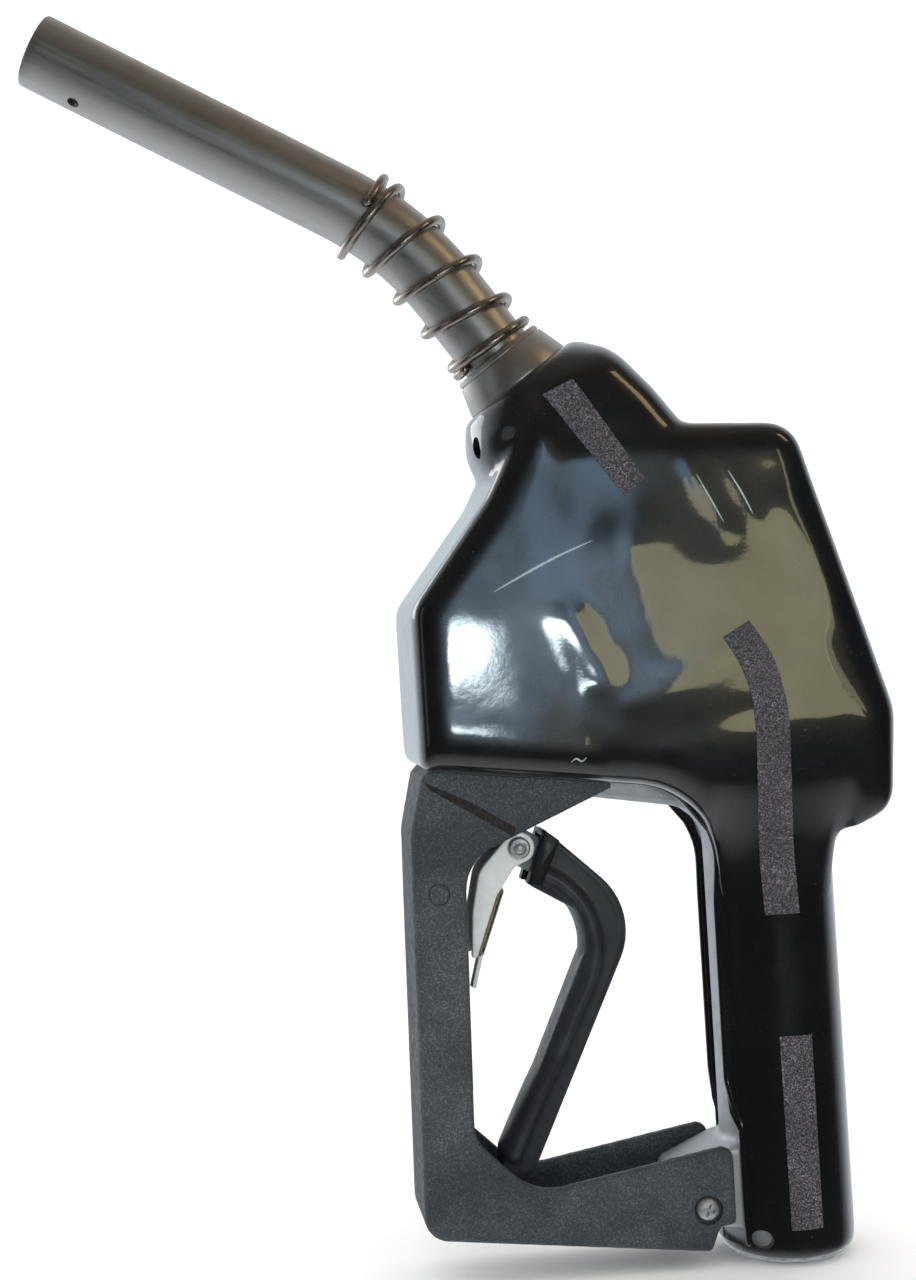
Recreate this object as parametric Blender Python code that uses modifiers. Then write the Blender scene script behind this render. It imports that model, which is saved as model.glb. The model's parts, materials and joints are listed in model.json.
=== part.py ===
"""Automatic shut-off fuel nozzle with a dipped vinyl hand insulator, modelled piece by piece.

Frame: metres, +Z up along the handle, origin at the centre of the hose inlet at the handle's lower
end, +X towards the back of the handle, and the plane of symmetry at y = 0.  Lengths in this file are
millimetres until the helpers multiply them by MM.
"""
import math

import bmesh
import bpy
from mathutils import Matrix, Vector

MM = 0.001
GAP = 0.3

# Driving dimensions, in millimetres.
SPOUT_RADIUS = 10.32          # 13/16 inch unleaded spout
SPOUT_WALL = 1.5
SPOUT_STRAIGHT = 94.0
SPOUT_LEG = 32.0
BEND_RADIUS = 93.0
NOSE_ANGLE = 55.0             # spout leg above the horizontal
TIP_ANGLE = 29.6              # straight spout above the horizontal
HANDLE_RADIUS = 19.0
INSULATOR_WALL = 1.8
CASTING_INSET = INSULATOR_WALL + GAP
BODY_HALF_WIDTH = 27.0
BODY_RIM = 7.5
GUARD_HALF_WIDTH = 15.0
CHANNEL_HALF_WIDTH = 11.7
LEVER_HALF_WIDTH = 8.0
CORE_HALF_WIDTH = 4.0
CLIP_HALF_WIDTH = 6.4
INLET_THREAD_RADIUS = 12.9    # 3/4 inch NPT female
SPRING_WIRE = 1.35
SPRING_RADIUS = 12.1
SPRING_PITCH = 13.7
SPRING_TURNS = 5.65
SPRING_START = 11.9

# Axes in the plane of symmetry: a point (x, z) and an angle above +X.
NOSE_POINT = (-61.6, 249.2)
VALVE_POINT = (-71.0, 130.0)
VALVE_ANGLE = 56.0
PLUNGER_X = -85.0
PIVOT = (PLUNGER_X, 132.5)
RIVET = (-70.8, 118.6)
GUARD_SCREW = (-25.7, 16.0)
BALL_HEIGHT = 166.0           # the latch balls' centres

COLOURS = {
    "vinyl": ((0.012, 0.013, 0.015), 0.18, 0.0),
    "cast_aluminium": ((0.42, 0.42, 0.41), 0.5, 0.9),
    "plated_steel": ((0.62, 0.61, 0.58), 0.3, 1.0),
    "spout_metal": ((0.5, 0.48, 0.45), 0.35, 1.0),
    "spring_steel": ((0.45, 0.42, 0.38), 0.32, 1.0),
    "guard_plastic": ((0.03, 0.031, 0.033), 0.6, 0.0),
    "lever_plastic": ((0.014, 0.014, 0.016), 0.42, 0.0),
    "rubber": ((0.02, 0.02, 0.02), 0.7, 0.0),
    "brass": ((0.66, 0.5, 0.25), 0.35, 1.0),
    "acetal": ((0.75, 0.73, 0.68), 0.45, 0.0),
}

for leftover in list(bpy.data.objects):
    bpy.data.objects.remove(leftover, do_unlink=True)

parts = bpy.data.collections.new("fuel_nozzle")
cutters = bpy.data.collections.new("fuel_nozzle_cutters")
bpy.context.scene.collection.children.link(parts)
bpy.context.scene.collection.children.link(cutters)


# ---------------------------------------------------------------- helpers

def material(name):
    found = bpy.data.materials.get(name)
    if found:
        return found
    colour, roughness, metallic = COLOURS[name]
    made = bpy.data.materials.new(name)
    made.use_nodes = True
    shader = made.node_tree.nodes["Principled BSDF"]
    shader.inputs["Base Color"].default_value = (*colour, 1.0)
    shader.inputs["Roughness"].default_value = roughness
    shader.inputs["Metallic"].default_value = metallic
    made.diffuse_color = (*colour, 1.0)
    return made


def smooth(mesh, angle=32.0):
    mesh.shade_smooth()
    mesh.set_sharp_from_angle(angle=math.radians(angle))


def add_object(name, mesh, finish):
    obj = bpy.data.objects.new(name, mesh)
    if finish:
        mesh.materials.append(material(finish))
        parts.objects.link(obj)
    else:
        cutters.objects.link(obj)
        obj.hide_render = True
        obj.display_type = "WIRE"
    return obj


def direction(angle):
    return Vector((math.cos(math.radians(angle)), 0.0, math.sin(math.radians(angle))))


def on_axis(point, angle, distance, side=0.0):
    """A point along an axis, and `side` to its right when looking along it."""
    along = direction(angle)
    across = direction(angle - 90.0)
    return Vector((point[0], 0.0, point[1])) + along * distance + across * side


def axis_matrix(start, along):
    turn = Vector((0.0, 0.0, 1.0)).rotation_difference(along.normalized())
    return Matrix.Translation(start * MM) @ turn.to_matrix().to_4x4()


def cylinder(name, start, end, radius, finish=None, sides=20):
    start = Vector(start)
    end = Vector(end)
    mesh = bpy.data.meshes.new(name)
    bm = bmesh.new()
    length = (end - start).length
    bmesh.ops.create_cone(
        bm,
        cap_ends=True,
        segments=sides,
        radius1=radius * MM,
        radius2=radius * MM,
        depth=length * MM,
        matrix=Matrix.Translation((0.0, 0.0, length * MM / 2.0)),
    )
    bm.to_mesh(mesh)
    bm.free()
    smooth(mesh)
    obj = add_object(name, mesh, finish)
    obj.matrix_world = axis_matrix(start, end - start)
    return obj


def block(name, low, high):
    mesh = bpy.data.meshes.new(name)
    bm = bmesh.new()
    low = Vector(low) * MM
    high = Vector(high) * MM
    size = high - low
    bmesh.ops.create_cube(bm, size=1.0, matrix=Matrix.Diagonal((*size, 1.0)))
    bm.to_mesh(mesh)
    bm.free()
    obj = add_object(name, mesh, None)
    obj.location = (low + high) / 2.0
    return obj


def turned(name, start, along, profile, finish=None, sides=24, ring=False):
    """Turn a profile of (radius, height) points, given top to bottom down its outer side."""
    mesh = bpy.data.meshes.new(name)
    bm = bmesh.new()
    corners = [bm.verts.new((radius * MM, 0.0, height * MM)) for radius, height in profile]
    for first, second in zip(corners, corners[1:]):
        bm.edges.new((first, second))
    if ring:
        bm.edges.new((corners[-1], corners[0]))
    bm.to_mesh(mesh)
    bm.free()
    obj = add_object(name, mesh, finish)
    screw = obj.modifiers.new("turn", "SCREW")
    screw.steps = sides
    screw.render_steps = sides
    screw.use_merge_vertices = True
    screw.merge_threshold = 0.00001
    obj.matrix_world = axis_matrix(Vector(start), Vector(along))
    return obj


def rounded(corners, steps=4):
    """Turn (x, z, radius) corners into an outline whose corners are arcs."""
    points = []
    count = len(corners)
    for index in range(count):
        x, z, radius = corners[index]
        here = Vector((x, z))
        before = Vector(corners[index - 1][:2]) - here
        after = Vector(corners[(index + 1) % count][:2]) - here
        if radius <= 0.0:
            points.append(here)
            continue
        before.normalize()
        after.normalize()
        half = before.angle(after) / 2.0
        reach = radius / math.tan(half)
        centre = here + (before + after).normalized() * (radius / math.sin(half))
        start = here + before * reach - centre
        sweep = math.pi - 2.0 * half
        turn = 1.0 if before.x * after.y - before.y * after.x < 0.0 else -1.0
        for step in range(steps + 1):
            angle = turn * sweep * step / steps
            spun = Vector((
                start.x * math.cos(angle) - start.y * math.sin(angle),
                start.x * math.sin(angle) + start.y * math.cos(angle),
            ))
            points.append(centre + spun)
    return points


def arc(centre, radius, start, end, steps=8):
    """Corners along an arc, from one angle to another in degrees."""
    points = []
    for step in range(steps + 1):
        spot = direction(start + (end - start) * step / steps) * radius
        points.append((centre[0] + spot.x, centre[1] + spot.z, 0.0))
    return points


def to_mesh_object(name, curve_object, finish):
    """Replace a curve object by the closed mesh that it evaluates to."""
    graph = bpy.context.evaluated_depsgraph_get()
    mesh = bpy.data.meshes.new_from_object(curve_object.evaluated_get(graph))
    mesh.materials.clear()
    bm = bmesh.new()
    bm.from_mesh(mesh)
    bmesh.ops.remove_doubles(bm, verts=bm.verts, dist=0.000002)
    bmesh.ops.recalc_face_normals(bm, faces=bm.faces)
    bm.to_mesh(mesh)
    bm.free()
    smooth(mesh)
    obj = add_object(name, mesh, finish)
    obj.matrix_world = curve_object.matrix_world.copy()
    bpy.data.objects.remove(curve_object, do_unlink=True)
    return obj


def curve_object(name, dimensions, paths):
    curve = bpy.data.curves.new(name, "CURVE")
    curve.dimensions = dimensions
    for points, cyclic in paths:
        spline = curve.splines.new("POLY")
        spline.points.add(len(points) - 1)
        for target, point in zip(spline.points, points):
            spot = Vector(point).to_3d() * MM
            target.co = (*spot, 1.0)
        spline.use_cyclic_u = cyclic
    obj = bpy.data.objects.new(name, curve)
    cutters.objects.link(obj)
    return obj


def plate(name, outline, half_width, finish=None, rim=0.0, inset=0.0, rim_steps=1):
    """A flat piece in the plane of symmetry, with its rim rounded over."""
    flat = curve_object(name + "_outline", "2D", [(outline, True)])
    flat.data.fill_mode = "BOTH"
    flat.data.extrude = (half_width - inset - rim) * MM
    flat.data.bevel_depth = rim * MM
    flat.data.bevel_resolution = rim_steps
    flat.data.offset = -(rim + inset) * MM
    flat.matrix_world = Matrix.Rotation(math.pi / 2.0, 4, "X")
    bpy.context.view_layer.update()
    return to_mesh_object(name, flat, finish)


def wire(name, points, radius, finish=None, resolution=2):
    path = curve_object(name + "_path", "3D", [(points, False)])
    path.data.bevel_depth = radius * MM
    path.data.bevel_resolution = resolution
    path.data.use_fill_caps = True
    bpy.context.view_layer.update()
    return to_mesh_object(name, path, finish)


def boolean(target, operation, tools):
    for tool in tools:
        step = target.modifiers.new(operation.lower() + "_" + tool.name, "BOOLEAN")
        step.operation = operation
        step.solver = "EXACT"
        step.object = tool
    return target


def cut(target, *tools):
    return boolean(target, "DIFFERENCE", tools)


def join(target, *tools):
    return boolean(target, "UNION", tools)


def frozen(obj, name, finish):
    """The evaluated mesh of an object with modifiers, as a plain mesh object."""
    bpy.context.view_layer.update()
    graph = bpy.context.evaluated_depsgraph_get()
    mesh = bpy.data.meshes.new_from_object(obj.evaluated_get(graph))
    mesh.materials.clear()
    bm = bmesh.new()
    bm.from_mesh(mesh)
    bmesh.ops.remove_doubles(bm, verts=bm.verts, dist=0.000002)
    bm.to_mesh(mesh)
    bm.free()
    smooth(mesh)
    made = add_object(name, mesh, finish)
    made.matrix_world = obj.matrix_world.copy()
    return made


def coil(centre_of, turns, radius, steps=12, phase=0.0):
    """Helix points about a path; centre_of(u) gives a centre and two cross directions."""
    count = int(turns * steps)
    points = []
    for index in range(count + 1):
        share = index / count
        centre, first, second = centre_of(share)
        angle = phase + 2.0 * math.pi * turns * share
        points.append(centre + (first * math.cos(angle) + second * math.sin(angle)) * radius)
    return points


def straight_coil(name, start, end, turns, radius, wire_radius, finish, steps=10):
    start = Vector(start)
    end = Vector(end)
    first = ACROSS
    second = (end - start).normalized().cross(ACROSS)

    def centre_of(share):
        return start.lerp(end, share), first, second

    return wire(name, coil(centre_of, turns, radius, steps), wire_radius, finish, 1)


def nose(distance, side=0.0):
    return on_axis(NOSE_POINT, 180.0 - NOSE_ANGLE, distance, side)


def valve(distance, side=0.0):
    return on_axis(VALVE_POINT, VALVE_ANGLE, distance, side)


NOSE_DIRECTION = direction(180.0 - NOSE_ANGLE)
VALVE_DIRECTION = direction(VALVE_ANGLE)
UP = Vector((0.0, 0.0, 1.0))
ACROSS = Vector((0.0, 1.0, 0.0))


def plunger(height):
    return Vector((PLUNGER_X, 0.0, height))


def spout_frame(length):
    """Centre and upward normal of the spout's axis at an arc length from the nose point."""
    bend = math.radians(NOSE_ANGLE - TIP_ANGLE)
    if length <= SPOUT_LEG:
        return nose(length), direction(90.0 - NOSE_ANGLE)
    start = nose(SPOUT_LEG)
    turn = min((length - SPOUT_LEG) / BEND_RADIUS, bend)
    centre = start - direction(90.0 - NOSE_ANGLE) * BEND_RADIUS
    angle = 90.0 - NOSE_ANGLE + math.degrees(turn)
    point = centre + direction(angle) * BEND_RADIUS
    beyond = length - SPOUT_LEG - BEND_RADIUS * bend
    if beyond > 0.0:
        point = point + direction(angle + 90.0) * beyond
    return point, direction(angle)


SPOUT_END = SPOUT_LEG + BEND_RADIUS * math.radians(NOSE_ANGLE - TIP_ANGLE) + SPOUT_STRAIGHT


def spout_path(start, end, offset=0.0, straight_step=32.0, bend_steps=7):
    bend_end = SPOUT_END - SPOUT_STRAIGHT
    stops = [start, SPOUT_LEG]
    stops += [SPOUT_LEG + (bend_end - SPOUT_LEG) * k / bend_steps for k in range(1, bend_steps + 1)]
    while stops[-1] + straight_step < end:
        stops.append(stops[-1] + straight_step)
    stops.append(end)
    points = []
    for stop in stops:
        centre, normal = spout_frame(stop)
        points.append(centre + normal * offset)
    return points


# ---------------------------------------------------------------- casting and insulator

BODY_OUTLINE = rounded([
    (-98.6, 143.0, 0.0),
    (-98.6, 187.0, 9.0),
    (-76.4, 215.5, 9.0),
    (-69.0, 230.0, 0.0),
    (-44.0, 234.4, 0.0),
    (9.4, 232.0, 10.0),
    (33.4, 152.0, 14.0),
    (31.5, 124.2, 8.5),
    (17.2, 118.0, 0.0),
    (15.2, 100.0, 0.0),
    (-15.2, 100.0, 0.0),
    (-18.2, 132.8, 26.0),
])
NOSE_PROFILE = [(17.0, 0.2), (19.2, -0.9), (21.6, -3.4), (24.0, -7.2), (25.0, -12.0), (25.6, -40.0)]
UNDERSIDE = rounded([
    (-96.2, 139.0, 0.0),
    (-96.2, 147.0, 0.0),
    (-13.5, 137.0, 24.0),
    (-13.5, 99.0, 0.0),
    (-25.0, 99.0, 0.0),
    (-25.0, 124.0, 22.0),
])


def nozzle_form(name, inset, bottom, rim_steps=0):
    """The outside form of the nozzle, set inwards by `inset`: body, handle and nose as one solid."""
    body = plate(
        name + "_body",
        BODY_OUTLINE,
        BODY_HALF_WIDTH,
        rim=BODY_RIM - inset,
        inset=inset,
        rim_steps=rim_steps,
    )
    handle = cylinder(
        name + "_handle",
        (0.0, 0.0, bottom),
        (0.0, 0.0, 118.0),
        HANDLE_RADIUS - inset,
        sides=32,
    )
    profile = [(0.0, NOSE_PROFILE[0][1] - inset)]
    profile += [(radius - inset, height - inset) for radius, height in NOSE_PROFILE]
    profile += [(0.0, NOSE_PROFILE[-1][1] - inset)]
    tip = turned(name + "_nose", nose(0.0), NOSE_DIRECTION, profile, sides=28)
    join(body, handle, tip)
    return body


def hand_insulator():
    outer = nozzle_form("insulator_outer", 0.0, 0.6, 1)
    shell = frozen(outer, "hand_insulator", "vinyl")
    cut(
        shell,
        nozzle_form("insulator_hollow", INSULATOR_WALL, -2.0),
        cylinder("insulator_nose_hole", nose(-6.0), nose(6.0), 16.6, sides=26),
        plate("insulator_underside_slot", UNDERSIDE, 15.6),
        block("insulator_handle_slot", (-25.0, -8.0, 37.0), (-12.0, 8.0, 103.0)),
        block("insulator_lug_slot", (-25.0, -11.8, 4.0), (-10.0, 11.8, 38.0)),
        cylinder("insulator_drain_hole", (-11.1, -30.0, 6.8), (-11.1, 0.0, 6.8), 2.6, sides=12),
    )


def body_casting():
    form = nozzle_form("casting_form", CASTING_INSET, 0.0)
    casting = frozen(form, "body_casting", "cast_aluminium")
    keel = plate(
        "casting_keel",
        rounded([
            (-61.0, 145.0, 0.0),
            (-61.0, 133.4, 1.5),
            (-15.8, 125.6, 13.0),
            (-15.8, 106.0, 0.0),
            (-9.0, 106.0, 0.0),
            (-9.0, 124.0, 0.0),
            (-34.0, 142.0, 0.0),
        ]),
        7.0,
    )
    lug = plate(
        "casting_lug",
        rounded([
            (-33.6, 20.0, 2.0),
            (-33.6, 24.6, 1.5),
            (-17.0, 32.0, 2.5),
            (-9.0, 32.4, 0.0),
            (-9.0, 8.0, 0.0),
            (-31.0, 11.0, 2.5),
        ]),
        CHANNEL_HALF_WIDTH - 0.4,
    )
    join(casting, keel, lug)
    cut(
        casting,
        cylinder("inlet_thread", (0, 0, -2), (0, 0, 18), INLET_THREAD_RADIUS, sides=24),
        cylinder("inlet_bore", (0, 0, 16), (0, 0, 176), 11.4),
        cylinder("inlet_crossing", (2.0, 0, 170.0), (-33.0, 0, 170.0), 9.5),
        cylinder("poppet_chamber", valve(45.0), valve(97.0), 15.0),
        cylinder("cap_counterbore", valve(96.0), valve(142.0), 20.0, sides=24),
        cylinder("lower_chamber", valve(29.0), valve(46.0), 11.0),
        cylinder("stem_bore", valve(20.0), valve(30.0), 3.4, sides=12),
        cylinder("packing_bore", valve(4.0), valve(24.0), 6.4, sides=16),
        cylinder("packing_counterbore", valve(0.0), valve(13.6), 8.0),
        cylinder("outlet_crossing", (-49.0, 0, 160.5), (-69.0, 0, 160.5), 5.8, sides=12),
        cylinder("outlet_riser", (-69.6, 0, 157.0), (-65.0, 0, 201.0), 5.8, sides=12),
        cylinder("outlet_slant", (-65.6, 0, 198.5), (-47.0, 0, 229.0), 5.8, sides=12),
        cylinder("nose_plenum", nose(-28.0), nose(-22.0), 8.0, sides=16),
        cylinder("nose_socket", nose(-24.0), nose(8.0), 13.5, sides=24),
        cylinder("plunger_bore", plunger(138.0), plunger(148.0), 4.35, sides=16),
        cylinder("plunger_spring_bore", plunger(146.4), plunger(166.0), 7.3),
        cylinder("pin_bore", plunger(165.0), plunger(173.0), 7.2),
        cylinder("diaphragm_bore", plunger(172.5), plunger(225.0), 9.6),
        block("guard_tongue_pocket", (-95.3, -6.4, 138.0), (-92.6, 6.4, 145.9)),
        cylinder(
            "lug_screw_hole",
            (GUARD_SCREW[0], -20.0, GUARD_SCREW[1]),
            (GUARD_SCREW[0], 20.0, GUARD_SCREW[1]),
            2.4,
            sides=16,
        ),
    )


# ---------------------------------------------------------------- spout

def spout_tube():
    outer = wire("spout_tube", spout_path(-8.2, SPOUT_END), SPOUT_RADIUS, "spout_metal", 6)
    inner = wire("spout_bore", spout_path(-20.0, SPOUT_END + 10.0), SPOUT_RADIUS - SPOUT_WALL, None, 6)
    centre, normal = spout_frame(SPOUT_END - 17.0)
    outside = centre - normal * 14.0
    port = cylinder("sensing_port_cutter", outside, centre - normal * 6.0, 1.7, sides=16)
    cut(outer, inner, port)


def spring_rise(turn):
    """Height along the spout after a number of turns; the end turns are closed up."""

    def ramp(value):
        return (math.sqrt(value * value + 0.12) + value) / 2.0

    return SPRING_PITCH * (ramp(turn - 1.0) - ramp(turn - SPRING_TURNS + 0.7))


def spout_spring():
    def centre_of(share):
        centre, normal = spout_frame(SPRING_START + spring_rise(SPRING_TURNS * share))
        return centre, normal, -ACROSS

    points = coil(centre_of, SPRING_TURNS, SPRING_RADIUS, 12, math.radians(155.0))
    wire("spout_spring", points, SPRING_WIRE, "spring_steel", 1)


def spout_collar():
    turned(
        "spout_collar",
        nose(0.0),
        NOSE_DIRECTION,
        [(10.7, 10.2), (13.0, 10.2), (13.6, 9.4), (16.2, 0.4), (15.6, -1.5), (10.7, -1.5)],
        "spout_metal",
        sides=24,
        ring=True,
    )


def spout_adapter():
    adapter = turned(
        "spout_adapter",
        nose(0.0),
        NOSE_DIRECTION,
        [
            (10.7, -2.2),
            (13.2, -2.2),
            (13.2, -4.4),
            (11.7, -4.4),
            (11.7, -6.6),
            (13.2, -6.6),
            (13.2, -11.0),
            (0.0, -11.0),
            (0.0, -8.8),
            (10.7, -8.8),
        ],
        "brass",
        ring=True,
    )
    holes = [cylinder("adapter_guide_cutter", nose(-13.0), nose(-6.0), 2.1, sides=12)]
    for index in range(4):
        angle = math.pi / 4.0 + index * math.pi / 2.0
        shift = direction(90.0 - NOSE_ANGLE) * 5.6 * math.cos(angle) + ACROSS * 5.6 * math.sin(angle)
        name = "adapter_flow_cutter_%d" % (index + 1)
        holes.append(cylinder(name, nose(-13.0) + shift, nose(-6.0) + shift, 2.6, sides=10))
    cut(adapter, *holes)


def o_ring(name, centre, along, radius, section, sides=24, steps=6):
    profile = []
    for step in range(steps):
        angle = -2.0 * math.pi * step / steps
        profile.append((radius + section * math.cos(angle), section * math.sin(angle)))
    turned(name, centre, along, profile, "rubber", sides, ring=True)


def vent_tube():
    path = spout_path(-6.0, SPOUT_END - 12.0, -6.3)
    tube = wire("vent_tube", path, 1.9, "plated_steel", 2)
    bore = wire("vent_bore", spout_path(-9.0, SPOUT_END - 8.0, -6.3), 1.2, None, 1)
    cut(tube, bore)


def check_valve():
    turned(
        "check_seat",
        nose(0.0),
        NOSE_DIRECTION,
        [(6.0, -21.4), (13.2, -21.4), (13.2, -23.7), (6.0, -23.7)],
        "brass",
        ring=True,
    )
    turned(
        "check_poppet",
        nose(0.0),
        NOSE_DIRECTION,
        [(0.0, -6.8), (1.8, -6.8), (1.8, -18.8), (8.2, -18.8), (8.2, -21.0), (0.0, -21.0)],
        "acetal",
    )
    straight_coil("check_spring", nose(-17.7), nose(-12.1), 3, 4.6, 0.5, "spring_steel")


# ---------------------------------------------------------------- main valve

def main_valve():
    turned(
        "main_stem",
        valve(0.0),
        VALVE_DIRECTION,
        [(0.0, 58.0), (2.6, 58.0), (3.0, 50.0), (3.0, -1.0), (2.0, -2.5), (0.0, -2.8)],
        "plated_steel",
        sides=20,
    )
    turned(
        "poppet_disc",
        valve(0.0),
        VALVE_DIRECTION,
        [(3.3, 48.2), (13.4, 48.2), (13.4, 45.4), (3.3, 45.4)],
        "rubber",
        ring=True,
    )
    turned(
        "main_poppet",
        valve(0.0),
        VALVE_DIRECTION,
        [(3.3, 62.0), (5.4, 62.0), (5.4, 52.5), (13.8, 51.0), (13.8, 48.5), (3.3, 48.5)],
        "brass",
        ring=True,
    )
    straight_coil("main_spring", valve(53.8), valve(90.6), 5, 8.6, 0.9, "spring_steel")
    cap = turned(
        "body_cap",
        valve(0.0),
        VALVE_DIRECTION,
        [
            (0.0, 112.6),
            (10.4, 112.6),
            (11.2, 111.8),
            (11.2, 106.0),
            (19.0, 105.2),
            (19.6, 104.6),
            (19.6, 98.4),
            (14.7, 98.4),
            (14.7, 92.0),
            (0.0, 92.0),
        ],
        "cast_aluminium",
    )
    cut(cap, cylinder("cap_stem_hollow", valve(88.0), valve(104.0), 6.2, sides=24))
    o_ring("cap_o_ring", valve(97.2), VALVE_DIRECTION, 17.3, 0.85)
    turned(
        "stem_packing",
        valve(0.0),
        VALVE_DIRECTION,
        [(3.15, 23.6), (6.1, 23.6), (6.1, 18.6), (3.15, 18.6)],
        "acetal",
        sides=24,
        ring=True,
    )
    nut = cylinder("packing_nut", valve(9.2), valve(13.2), 7.4, "brass", sides=6)
    neck = cylinder("packing_nut_neck", valve(12.2), valve(18.2), 6.0, sides=24)
    bore = cylinder("packing_nut_bore", valve(5.0), valve(20.0), 3.4, sides=24)
    join(nut, neck)
    cut(nut, bore)


# ---------------------------------------------------------------- automatic shut-off

def trip_plunger():
    px, pz = PIVOT
    body = plate(
        "trip_plunger",
        rounded([
            (px - 4.6, pz - 4.6, 4.0),
            (px + 4.6, pz - 4.6, 4.0),
            (px + 4.6, pz + 9.2, 1.0),
            (px - 4.6, pz + 9.2, 1.0),
        ]),
        7.2,
        "plated_steel",
    )
    rod = cylinder("plunger_rod", plunger(pz + 8.0), plunger(169.0), 4.0, sides=16)
    collar = cylinder("plunger_collar", plunger(160.0), plunger(161.5), 6.6)
    slot = block("plunger_slot", (px - 8.0, -4.4, pz - 8.0), (px + 8.0, 4.4, pz + 5.8))
    hollow = cylinder("plunger_hollow", plunger(163.0), plunger(172.0), 2.3, sides=12)
    pin_hole = cylinder("plunger_pin_hole", (px, -9.0, pz), (px, 9.0, pz), 2.05, sides=20)
    join(body, rod, collar)
    cut(body, slot, hollow, pin_hole)
    windows = []
    for index in range(3):
        outward = ball_direction(index)
        centre = plunger(BALL_HEIGHT)
        name = "plunger_ball_window_%d" % (index + 1)
        windows.append(cylinder(name, centre + outward * 1.0, centre + outward * 6.0, 1.4, sides=8))
    cut(body, *windows)


def ball_direction(index):
    angle = 2.0 * math.pi * index / 3.0
    return Vector((math.cos(angle), math.sin(angle), 0.0))


def latch():
    for index in range(3):
        mesh = bpy.data.meshes.new("latch_ball")
        bm = bmesh.new()
        bmesh.ops.create_uvsphere(bm, u_segments=8, v_segments=6, radius=1.05 * MM)
        bm.to_mesh(mesh)
        bm.free()
        smooth(mesh, 60.0)
        ball = add_object("latch_ball_%d" % (index + 1), mesh, "plated_steel")
        ball.location = (plunger(BALL_HEIGHT) + ball_direction(index) * 3.05) * MM
    turned(
        "latch_ring",
        plunger(0.0),
        UP,
        [(4.4, 164.4), (7.0, 164.4), (7.0, 162.1), (4.4, 162.1)],
        "plated_steel",
        sides=24,
        ring=True,
    )
    turned(
        "latch_pin",
        plunger(0.0),
        UP,
        [(0.0, 176.2), (1.6, 176.2), (1.6, 172.4), (3.6, 172.4), (3.6, 171.2), (1.6, 170.6),
         (1.6, 164.2), (0.0, 163.8)],
        "plated_steel",
        sides=16,
    )
    turned(
        "diaphragm",
        plunger(0.0),
        UP,
        [(1.9, 173.5), (9.3, 173.5), (9.3, 172.8), (1.9, 172.8)],
        "rubber",
        sides=28,
        ring=True,
    )
    turned(
        "diaphragm_plate",
        plunger(0.0),
        UP,
        [(1.9, 174.8), (5.4, 174.8), (5.4, 173.8), (1.9, 173.8)],
        "brass",
        sides=24,
        ring=True,
    )
    straight_coil("diaphragm_spring", plunger(175.7), plunger(183.1), 3, 4.2, 0.5, "spring_steel")
    turned(
        "vacuum_cap",
        plunger(0.0),
        UP,
        [(0.0, 188.0), (8.4, 188.0), (9.3, 187.2), (9.3, 173.8), (7.4, 173.8), (7.4, 183.9),
         (0.0, 183.9)],
        "cast_aluminium",
        sides=28,
    )
    straight_coil("plunger_spring", plunger(147.4), plunger(159.1), 4, 5.6, 0.55, "spring_steel")


# ---------------------------------------------------------------- lever and hold-open clip

def lever_pin():
    px, pz = PIVOT
    cylinder("lever_pin", (px, -8.2, pz), (px, 8.2, pz), 1.9, "plated_steel", sides=20)


def lever_core():
    px, pz = PIVOT
    rx, rz = RIVET
    core = plate(
        "lever_core",
        rounded(
            arc(PIVOT, 4.4, 228.0, 48.0)
            + [
                (rx + 0.6, rz + 6.0, 3.0),
                (-61.0, 118.6, 0.0),
                (-49.8, 109.6, 1.5),
                (-53.0, 102.8, 1.5),
                (-65.0, 109.8, 0.0),
                (rx - 1.6, rz - 4.6, 3.0),
            ]
        ),
        CORE_HALF_WIDTH,
        "plated_steel",
    )
    cut(
        core,
        cylinder("core_pivot_hole", (px, -9.0, pz), (px, 9.0, pz), 2.25, sides=20),
        cylinder("core_rivet_hole", (rx, -9.0, rz), (rx, 9.0, rz), 1.9, sides=20),
        block("core_spring_relief", (rx - 5.4, 2.2, rz - 7.0), (rx + 4.2, 6.0, rz + 7.0)),
    )


def lever_grip():
    grip = plate(
        "lever_grip",
        rounded([
            (-63.2, 123.4, 0.0),
            (-37.2, 98.6, 20.0),
            (-72.3, 26.4, 3.6),
            (-82.4, 26.8, 3.4),
            (-48.0, 95.6, 9.0),
            (-69.0, 107.7, 0.0),
        ], 6),
        LEVER_HALF_WIDTH,
        "lever_plastic",
        rim=3.0,
    )
    pocket = plate(
        "grip_pocket",
        [
            (-74.0, 130.5),
            (-61.0, 119.0),
            (-49.3, 109.7),
            (-52.9, 102.2),
            (-65.0, 109.4),
            (-76.0, 111.0),
        ],
        CORE_HALF_WIDTH + GAP,
    )
    cut(grip, pocket)


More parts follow.
